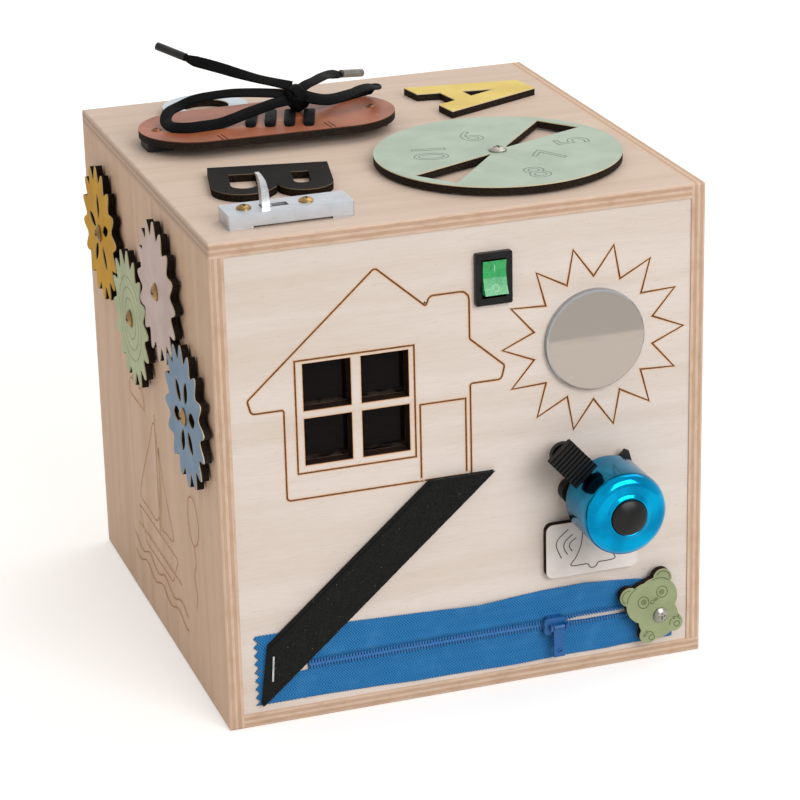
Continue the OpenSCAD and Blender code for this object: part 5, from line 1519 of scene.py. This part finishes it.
@dataclass
class ZipFastener:
    """The zip: two woven tapes, coil teeth, slider and hanging pull."""

    z: float = 23.6
    left: float = -88.0
    right: float = 87.5
    chain_left: float = -67.0
    chain_right: float = 72.0
    slider_x: float = 35.2
    tape: float = 14.8
    thick: float = 0.6
    wedge: float = 1.0
    pitch: float = 1.2
    pivot: tuple[float, float] = (80.0, 21.6)
    pivot_r: float = 5.6

    def edges(self, side: int, x: np.ndarray) -> tuple[np.ndarray, np.ndarray]:
        """The tape's chain edge and outer edge over x, straight between fixed places.

        Args:
            side: 1 for the upper tape, -1 for the lower one.
            x: Places along the zip.

        Returns:
            The heights of both edges.
        """
        s, z = self.slider_x, self.z
        chain = np.interp(
            x, [self.left, s, s + 14, self.right - 12, self.right], [0.2, 0.2, self.wedge, self.wedge, 4]
        )
        if side > 0:
            top = z + 0.2 + self.tape
            outer = np.interp(
                x,
                [self.left + 1, -50, 0, s - 30, s - 4, s + 14, self.right - 16, self.right - 4, self.right],
                [top + 0.2, top, top - 2, top - 2, top - 0.4, top + 0.2, top - 2, top - 4, z + 4],
            )
        else:
            foot = z - 0.2 - self.tape
            outer = np.interp(
                x, [self.left + 1, -60, 0, s, self.right],
                [foot + 0.6, foot + 0.6, foot - 0.6, foot - 0.4, foot],
            )
        return z + side * chain, outer

    def tape_piece(self, side: int, name: str, node: str, finish: Finish) -> None:
        """Weaves one tape.

        Its height is the tape's thickness plus a sewn ridge, 0.4 exp(-((d - 3.1) / 0.6)^2) over
        the distance d from the chain edge, and a slow ripple near the outer edge.

        Args:
            side: 1 for the upper tape, -1 for the lower one.
            name: The piece's name.
            node: The node that it stands for.
            finish: Its finish.
        """
        x = np.concatenate([
            np.linspace(self.left, self.chain_left - 3.6, 24), [self.chain_left - 1.9],
            np.linspace(self.chain_left - 0.2, self.right - 0.05, 300),
        ])
        near, outer = self.edges(side, x)
        # The woven edge's nubs stand 0.15 mm out, a millimetre apart
        outer = outer + side * 0.15 * (-1.0) ** np.arange(len(x))
        # Columns crowd up to the sewn ridge, which ends 3.4 mm out or at 0.22 of a narrower tape
        sewn = 3.4
        d = np.concatenate([[0, 0.6, 1.2, 1.8, 2.4, 2.9, sewn, 4.0], np.linspace(4.6, self.tape, 19)])
        share = np.clip((d - sewn) / (self.tape - sewn), 0, 1)
        width = np.abs(outer - near)
        narrow = width[:, None] * 0.22
        past = np.minimum(sewn, narrow) * (1 - share) + width[:, None] * share
        reach = np.where(d[None] <= sewn, np.minimum(d, narrow), past)
        up = near[:, None] + side * reach
        along = np.repeat(x[:, None], len(d), 1)
        # Pinked end: teeth 3.6 mm apart, which the first four columns follow less and less
        pinking = np.abs((up[0] / 3.6) % 1 - 0.5) * 3.6 - 0.9
        along[:4] += pinking[None] * np.array([1.0, 0.7, 0.4, 0.15])[:, None]
        clear = np.clip((x - (self.chain_left + 3)) / 6, 0, 1)[:, None]
        ridge = 0.4 * np.exp(-(((reach - 3.1) / 0.6) ** 2)) * clear
        rest = np.clip((x + 40) / 20, 0, 1)[:, None] * np.clip((66 - x) / 10, 0, 1)[:, None]
        ripple = 0.35 * (1 + np.sin(x / 7.3 + side))[:, None] * share[None] ** 2 * rest
        points = np.stack([along, up, self.thick + ridge + ripple], -1)
        faces = grid_faces(len(x), len(d))[:, ::side]
        middle = points.reshape(-1, 3)[faces].mean(1)
        # Left open: the gap before the first teeth, and a hole for the bear's pivot
        gap = (
            (middle[:, 0] > self.chain_left - 3.5) & (middle[:, 0] < self.chain_left - 0.3)
            & (middle[:, 1] > self.z - 2.6) & (middle[:, 1] < self.z + 1.4)
        )
        hole = np.hypot(middle[:, 0] - self.pivot[0], middle[:, 1] - self.pivot[1]) < self.pivot_r
        piece = Piece(name)
        piece.add(
            Face.FRONT.place(points.reshape(-1, 3)), faces[~(gap | hole)],
            along=along.ravel(), across=reach.ravel(),
        )
        obj = piece.build(finish, "box", "zip_blue")
        solid = obj.modifiers.new("thickness", "SOLIDIFY")
        solid.thickness = 0.5 * MM
        solid.offset = -1.0
        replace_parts(obj, node)

    def teeth(self, finish: Finish) -> None:
        """Makes coil teeth, 1.2 mm apart on each tape and staggered, meshed up to the slider.

        One tooth is a rounded block: a section with 6 sides, carried over 5 stations whose size
        swells in the middle and closes at both ends. It runs from 0.5 mm past the middle line to
        1.9 mm out where the zip is closed, and from 0.95 to 2.3 mm out where it is open.

        Args:
            finish: Their finish.
        """
        station = np.array([0.0, 0.12, 0.5, 0.88, 1.0])
        size = np.array([0.35, 0.9, 1.0, 0.9, 0.35])
        a = np.arange(6) * np.pi / 3
        ring = np.stack([np.cos(a) * 0.52, np.sin(a) * 0.5], -1)
        faces = grid_faces(5, 6, False, True)
        ends = np.array([[0, 1, 2, 3], [0, 3, 4, 5], [27, 26, 25, 24], [29, 28, 27, 24]])
        piece = Piece("coil_teeth")
        for side in (1, -1):
            count = int((self.chain_right - self.chain_left) / self.pitch)
            x = self.chain_left + (np.arange(count) + (0.25 if side > 0 else 0.75)) * self.pitch
            apart = np.abs(self.edges(side, x)[0] - self.z) - 0.2
            start, end = np.interp(apart, [0, 0.6], [-0.5, 0.95]), np.interp(apart, [0, 0.6], [1.9, 2.3])
            points = np.zeros((count, 5, 6, 3))
            points[..., 0] = x[:, None, None] + (size[:, None] * ring[:, 0])[None]
            reach = start[:, None] + (end - start)[:, None] * station
            points[..., 1] = self.z + side * reach[..., None]
            points[..., 2] = self.thick + 0.75 + (size[:, None] * ring[:, 1])[None]
            patch = np.vstack([faces[:, ::-1], ends])[:, ::side]
            every = (patch[None] + np.arange(count)[:, None, None] * 30).reshape(-1, 4)
            piece.add(Face.FRONT.place(points.reshape(-1, 3)), every)
        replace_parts(piece.build(finish, "box", "zip_coil_blue"), "zip_chain")

    def build(self) -> None:
        """Tapes, teeth, slider, pull and the staple at the lower left."""
        tape = WovenTape("woven_polyester_zip_tape")
        self.tape_piece(1, "woven_tape_upper", "zip_tape_upper", tape)
        self.tape_piece(-1, "woven_tape_lower", "zip_tape_lower", tape)
        self.teeth(Moulded("blue_nylon_coil", "#1A66A4", 0.28, 0.5, 0.02))
        lacquer = Moulded("blue_lacquered_zinc", "#125490", 0.3, 1.0, 0.01, specular=0.35)
        dress(lacquer, "zip_slider", "zip_pull")
        dress(PlatedSteel("steel_staple_wire", "#C7C8CA", "#9B9CA0", 0.22), "staple")


@dataclass
class PeelStrip:
    """The hook and loop strip over the zip: a hook band below and a loop band that peels."""

    line: tuple[float, float] = (-77.8, 28.2)
    slope: float = 41.0
    width: float = 17.5
    top_cut: float = 93.8
    foot_cut: float = 9.6
    slant_foot: float = -86.9
    slant: float = 3.5 / 26.4
    upright: float = -83.4
    hinge: float = 5.0
    hook_low: float = 0.7
    loop_low: float = 2.2
    thick: float = 1.2

    def reach(self, t: np.ndarray) -> tuple[np.ndarray, np.ndarray]:
        """Where the strip starts and ends along its run, t to the left of its middle line.

        It ends at the level cut on top. It starts at the slanted or the upright cut, whichever comes
        first, and no lower than the foot's cut. The slanted one runs x = foot + slant z over it.

        Args:
            t: Distances to the left of the middle line.

        Returns:
            Where each run starts and ends.
        """
        a = math.radians(self.slope)
        dx, dz = math.cos(a), math.sin(a)
        x, z = self.line[0] - t * dz, self.line[1] + t * dx
        end = (self.top_cut - z) / dz
        k = self.slant
        slanted = (self.slant_foot - k * self.foot_cut - x + k * z) / (dx - k * dz)
        upright = (self.upright - x) / dx
        return np.maximum(np.minimum(slanted, upright), (self.foot_cut - z) / dz), end

    def layer(
        self, name: str, low: float, thick: float, finish: Finish, pile: float, body: str | None
    ) -> bpy.types.Object:
        """One band, with a soft top and rounded long edges.

        Point (i, j) lies i / 149 of the way along its run, at a t that follows a sine, so the columns
        crowd up to both edges. Its top is low + thick (0.35 + 0.65 f e) + f times noise, where f
        rises as a quarter circle over 0.8 mm from a long edge, and e over 1.5 rows from an end.

        Args:
            name: The piece's name.
            low: Its underside's height.
            thick: Its thickness.
            finish: Its finish.
            pile: How uneven its top is, in mm.
            body: The body that carries it; none if it bends.

        Returns:
            The object.
        """
        rows, columns = 150, 25
        half = self.width / 2
        t = np.linspace(-1, 1, columns)
        t = half * np.sin(t * np.pi / 2 * 0.86) / np.sin(np.pi / 2 * 0.86)
        start, end = self.reach(t)
        u = np.linspace(0, 1, rows)[:, None]
        s = start[None] * (1 - u) + end[None] * u
        a = math.radians(self.slope)
        x = self.line[0] + s * math.cos(a) - t * math.sin(a)
        z = self.line[1] + s * math.sin(a) + t * math.cos(a)
        rng = np.random.default_rng(7)
        rough = rng.normal(0, pile, (rows, columns))
        fall = np.clip((half - np.abs(t)) / 0.8, 0, 1)[None]
        fall = np.sqrt(1 - (1 - fall) ** 2)
        ends = np.clip(np.minimum(u, 1 - u) * rows / 1.5, 0.25, 1)
        top = low + thick * (0.35 + 0.65 * fall * ends) + rough * fall
        upper = np.stack([x, z, top], -1).reshape(-1, 3)
        lower = np.stack([x, z, np.full_like(x, low)], -1).reshape(-1, 3)
        faces = grid_faces(rows, columns)
        count = rows * columns
        grid = np.arange(count).reshape(rows, columns)
        border = np.concatenate([grid[:, 0], grid[-1, 1:], grid[-2::-1, -1], grid[0, -2:0:-1]])
        following = np.roll(border, -1)
        wall = np.stack([border, following, following + count, border + count], -1)
        piece = Piece(name)
        piece.add(
            Face.FRONT.place(np.vstack([upper, lower])),
            np.vstack([faces, faces[:, ::-1] + count, wall[:, ::-1]]),
            along=np.tile(s.ravel(), 2), across=np.tile(np.broadcast_to(t, s.shape).ravel(), 2),
        )
        return piece.build(finish, body, "strip_black")

    def build(self) -> None:
        """The hook band rides on the box; the loop band rides on no body, and the ends of its hinge at the
        staple are found but not used.
        """
        hook, loop = LoopPile("nylon_hook_band"), LoopPile("nylon_loop_pile")
        hooks = self.layer("hook_band", self.hook_low, self.thick, hook, 0.05, "box")
        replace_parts(hooks, "hook_strip")
        loops = self.layer("loop_band", self.loop_low - 0.1, self.thick + 0.1, loop, 0.07, None)
        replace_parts(loops, "loop_strip_end", "loop_strip_flap")
        a = math.radians(self.slope)
        run = np.array([math.cos(a), math.sin(a)])
        start, end = (np.array(self.line) + run * s for s in (self.hinge - 2.5, self.hinge + 2.5))
        at = Face.FRONT.place(np.array([[*start, self.loop_low], [*end, self.loop_low]]))
        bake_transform(loops)


@dataclass
class BearButton:
    """The small wooden bear that turns over the end of the zip."""

    x: float = 80.0
    z: float = 21.6
    lean: float = 23.5
    top: float = 6.0

    def place(self, points: np.ndarray) -> np.ndarray:
        """Turns (right, up, over) on the bear's face into metres."""
        flat = turned(points[:, :2], self.lean)
        return Face.FRONT.place(np.column_stack([flat + (self.x, self.z), self.top + points[:, 2]]))

    def build(self) -> None:
        """Paints the bear and burns its face, ears and paws."""
        top = Face.FRONT.level + self.top
        finish = PaintedCutout("sage_painted_birch", "#929C76", "#868F6A", Face.FRONT.out, top, "#4C5230")
        dress(finish, "bear_button")
        piece = Piece("burnt_bear_face")
        lines = [
            (circle(-4.2, 9.0, 2.3, 30, 1.15), True), (circle(-4.0, 9.1, 1.0, 20), True),
            (circle(-4.0, 9.1, 0.4, 14), True), (circle(4.6, 9.0, 2.3, 30, 1.1), True),
            (circle(4.4, 9.0, 1.0, 20), True), (circle(4.4, 9.0, 0.4, 14), True),
            (circle(-0.7, 7.1, 0.95, 18, 0.7), True), (circle(0.9, 7.4, 0.95, 18, 0.7), True),
            (circle(0.9, 7.4, 0.4, 12), True), (arc(-8.6, 14.4, 3.0, 55, 215), False),
            (arc(-4.4, 9.6, 6.6, 88, 155), False), (arc(7.2, 14.4, 3.1, -35, 125), False),
            (arc(3.0, 9.2, 6.8, 25, 92), False), (arc(-8.3, -6.3, 2.4, -30, 150), False),
            (circle(-7.2, -7.2, 1.2, 18), True), (circle(-9.4, -4.7, 0.5, 12), True),
            (circle(-8.0, -3.9, 0.5, 12), True), (arc(4.2, -6.9, 2.5, 0, 170), False),
            (circle(4.6, -7.6, 1.2, 18), True), (circle(6.3, -4.8, 0.5, 12), True),
            (circle(4.6, -4.5, 0.5, 12), True),
        ]
        for k, (line, closed) in enumerate(lines):
            piece.lines(self.place, line, 0.85, 0.02 + 0.004 * k, closed)
        piece.build(finish, "bear", "bear_green", flat=True)


@dataclass
class GearTrain:
    """Four meshed wooden gears on the left side."""

    low: float = 0.9

    def build(self) -> None:
        """Paints each gear its own colour and finishes its screws."""
        out, top = Face.LEFT.out, Face.LEFT.level + self.low + CUTOUT
        colours = {
            "gear_yellow": ("mustard_painted_birch", "#D9A416", "#C6930F", 0.02),
            "gear_green": ("pale_green_painted_birch", "#B2BF92", "#A2AF83", 0.12),
            "gear_pink": ("rose_painted_birch", "#D0BAB2", "#C2ABA3", 0.12),
            "gear_blue": ("slate_blue_painted_birch", "#7191AE", "#61819E", 0.12),
        }
        for node, (name, paint, shade, specular) in colours.items():
            dress(PaintedCutout(name, paint, shade, out, top, specular=specular), node)
        dress(BRASS, "gear_screws")


@dataclass
class NumberDial:
    """The number wheel on top: two windows, numbers on its face and on the panel below."""

    x: float = 36.2
    y: float = -41.0
    low: float = 0.9
    marks: tuple = (("10", 27, 168), ("9", 23.5, 98), ("5", 32, 2), ("7", 22, -36), ("8", 34, -84))
    below_r: float = 37.5
    below_start: float = 212.0

    def glyph(self, text: str, size: float, stroke: float) -> tuple[np.ndarray, np.ndarray]:
        """A text's outline in the default font, as flat lines in mm round its middle.

        Args:
            text: The text.
            size: Its height.
            stroke: The line's width; none fills the text.

        Returns:
            Points and faces.
        """
        # Figures stand some 0.7 of the font's size tall
        curve = bpy.data.curves.new("number", "FONT")
        curve.body = text
        curve.size = size * 1.4
        curve.resolution_u = 5
        if stroke:
            curve.fill_mode = "NONE"
            curve.bevel_depth = stroke / 2
            curve.bevel_resolution = 0
        holder = bpy.data.objects.new("number", curve)
        bpy.context.scene.collection.objects.link(holder)
        bpy.context.view_layer.update()
        evaluated = holder.evaluated_get(bpy.context.evaluated_depsgraph_get())
        mesh = bpy.data.meshes.new_from_object(evaluated)
        points = np.zeros(len(mesh.vertices) * 3)
        mesh.vertices.foreach_get("co", points)
        points = points.reshape(-1, 3)
        faces = [tuple(p.vertices) for p in mesh.polygons]
        bpy.data.objects.remove(holder)
        bpy.data.meshes.remove(mesh)
        bpy.data.curves.remove(curve)
        points[:, :2] -= (points[:, :2].min(0) + points[:, :2].max(0)) / 2
        return points, faces

    def numbers(
        self, name: str, marks: tuple, size: float, stroke: float, height: float, body: str,
        finish: Finish, slot: str,
    ) -> None:
        """Sets numbers round the dial, their heads towards its middle.

        An outline is a thin tube, pressed to 0.15 of its height.

        Args:
            name: The piece's name.
            marks: Rows of (text, radius, angle).
            size: Height of the numbers.
            stroke: Width of their outline; none fills them.
            height: Height over the top face.
            body: The body that carries them.
            finish: Their finish.
            slot: The record's material slot.
        """
        piece = Piece(name)
        for text, r, angle in marks:
            points, faces = self.glyph(text, size, stroke)
            flat = turned(points[:, :2], angle + 90)
            a = math.radians(angle)
            flat = flat + (self.x + r * math.cos(a), self.y + r * math.sin(a))
            lift = height + 0.02 + (points[:, 2] * 0.15 if stroke else 0 * points[:, 2])
            piece.faces += [[v + piece.count for v in f] for f in faces]
            placed = Face.TOP.place(np.column_stack([flat, lift]))
            piece.add(placed, np.zeros((0, 4), int), scorch=np.ones(len(points)))
        piece.build(finish, body, slot, flat=True)

    def build(self) -> None:
        """Paints the wheel and sets its numbers."""
        top = SIDE + self.low + CUTOUT
        mint = PaintedCutout("mint_painted_birch", "#A6B4A4", "#9BAA9A", top=top, line="#66766A")
        dress(mint, "number_wheel")
        over = self.low + CUTOUT
        self.numbers("outlined_numbers", self.marks, 14.0, 0.5, over, "dial", mint, "wheel_mint")
        below = tuple((str(n + 1), self.below_r, self.below_start - 36.0 * n) for n in range(10))
        ink = Moulded("black_printed_numbers", "#1B1715", 0.6)
        self.numbers("printed_numbers", below, 6.5, 0, 0.0, "box", ink, "letter_dark")
        dress(PlatedSteel("nickel_plated_pivot_screws", "#A19E94", "#716E66", 0.25), "pivot_screws")
        dress(ZINC, "pivot_nuts")
        dress(SATIN_BLACK, "pivot_washers")


@dataclass
class Letters:
    """Three letters on the top."""

    top: float = SIDE + CUTOUT

    def build(self) -> None:
        """Paints each letter."""
        butter = PaintedCutout("butter_painted_birch", "#D6BE66", "#CAB159", top=self.top)
        anthracite = PaintedCutout(
            "anthracite_painted_birch", "#191715", "#12100F", top=self.top, gloss=0.5, specular=0.03,
            rim="#6A5C4A",
        )
        ice = PaintedCutout("ice_painted_birch", "#C4CFD6", "#B7C3CC", top=self.top)
        dress(butter, "letter_a")
        dress(anthracite, "letter_b")
        dress(ice, "letter_c")


@dataclass
class SlidingLatch:
    """The sliding latch with its horn."""

    def build(self) -> None:
        """Finishes the plated bar, the horn and the screws."""
        nickel = PlatedSteel("nickel_plated_latch", "#C4C8CD", "#BABEC4", 0.32, (0.05, 1.2, 1.2))
        dress(nickel, "latch_body")
        dress(PlatedSteel("cast_zinc_horn", "#D0D2D4", "#A4A6AA", 0.22), "latch_hook")
        dress(BRASS, "latch_screws")


@dataclass
class SunMirror:
    """The round mirror in the middle of the sun."""

    x: float = 53.2
    z: float = 142.2
    r: float = 20.5
    thick: float = 3.0

    def place(self, points: np.ndarray) -> np.ndarray:
        """Turns (right, up, out) from the disc's axis into metres."""
        return Face.FRONT.place(points + (self.x, self.z, 0))

    def build(self) -> None:
        """A disc with a ground rim: flat face, a 0.6 mm slope and a straight wall."""
        r, t = self.r, self.thick
        profile = np.array([
            [0, t], [r * 0.5, t], [r - 0.75, t], [r - 0.6, t - 0.02], [r - 0.05, t - 0.58],
            [r, t - 0.7], [r, 0.02], [0, 0.02],
        ])
        piece = Piece("silvered_disc").lathe(self.place, profile, 128)
        obj = piece.build(SilveredAcrylic("silvered_acrylic_mirror_with_painted_reflection"), "box", "mirror", flat=True)
        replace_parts(obj, "mirror_disc")


def main() -> None:
    """Builds the camera, then the laces, then the cube and its toys."""
    logging.basicConfig(level=logging.INFO, format="%(message)s")
    Studio().build()
    shoe = LacingShoe()
    shoe.laces()
    Box().build()
    Lamp().build()
    Switch().build()
    SunMirror().build()
    Bell().build()
    ZipFastener().build()
    PeelStrip().build()
    BearButton().build()
    GearTrain().build()
    NumberDial().build()
    Letters().build()
    SlidingLatch().build()
    shoe.build()
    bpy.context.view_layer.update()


if __name__ == "__main__":
    main()
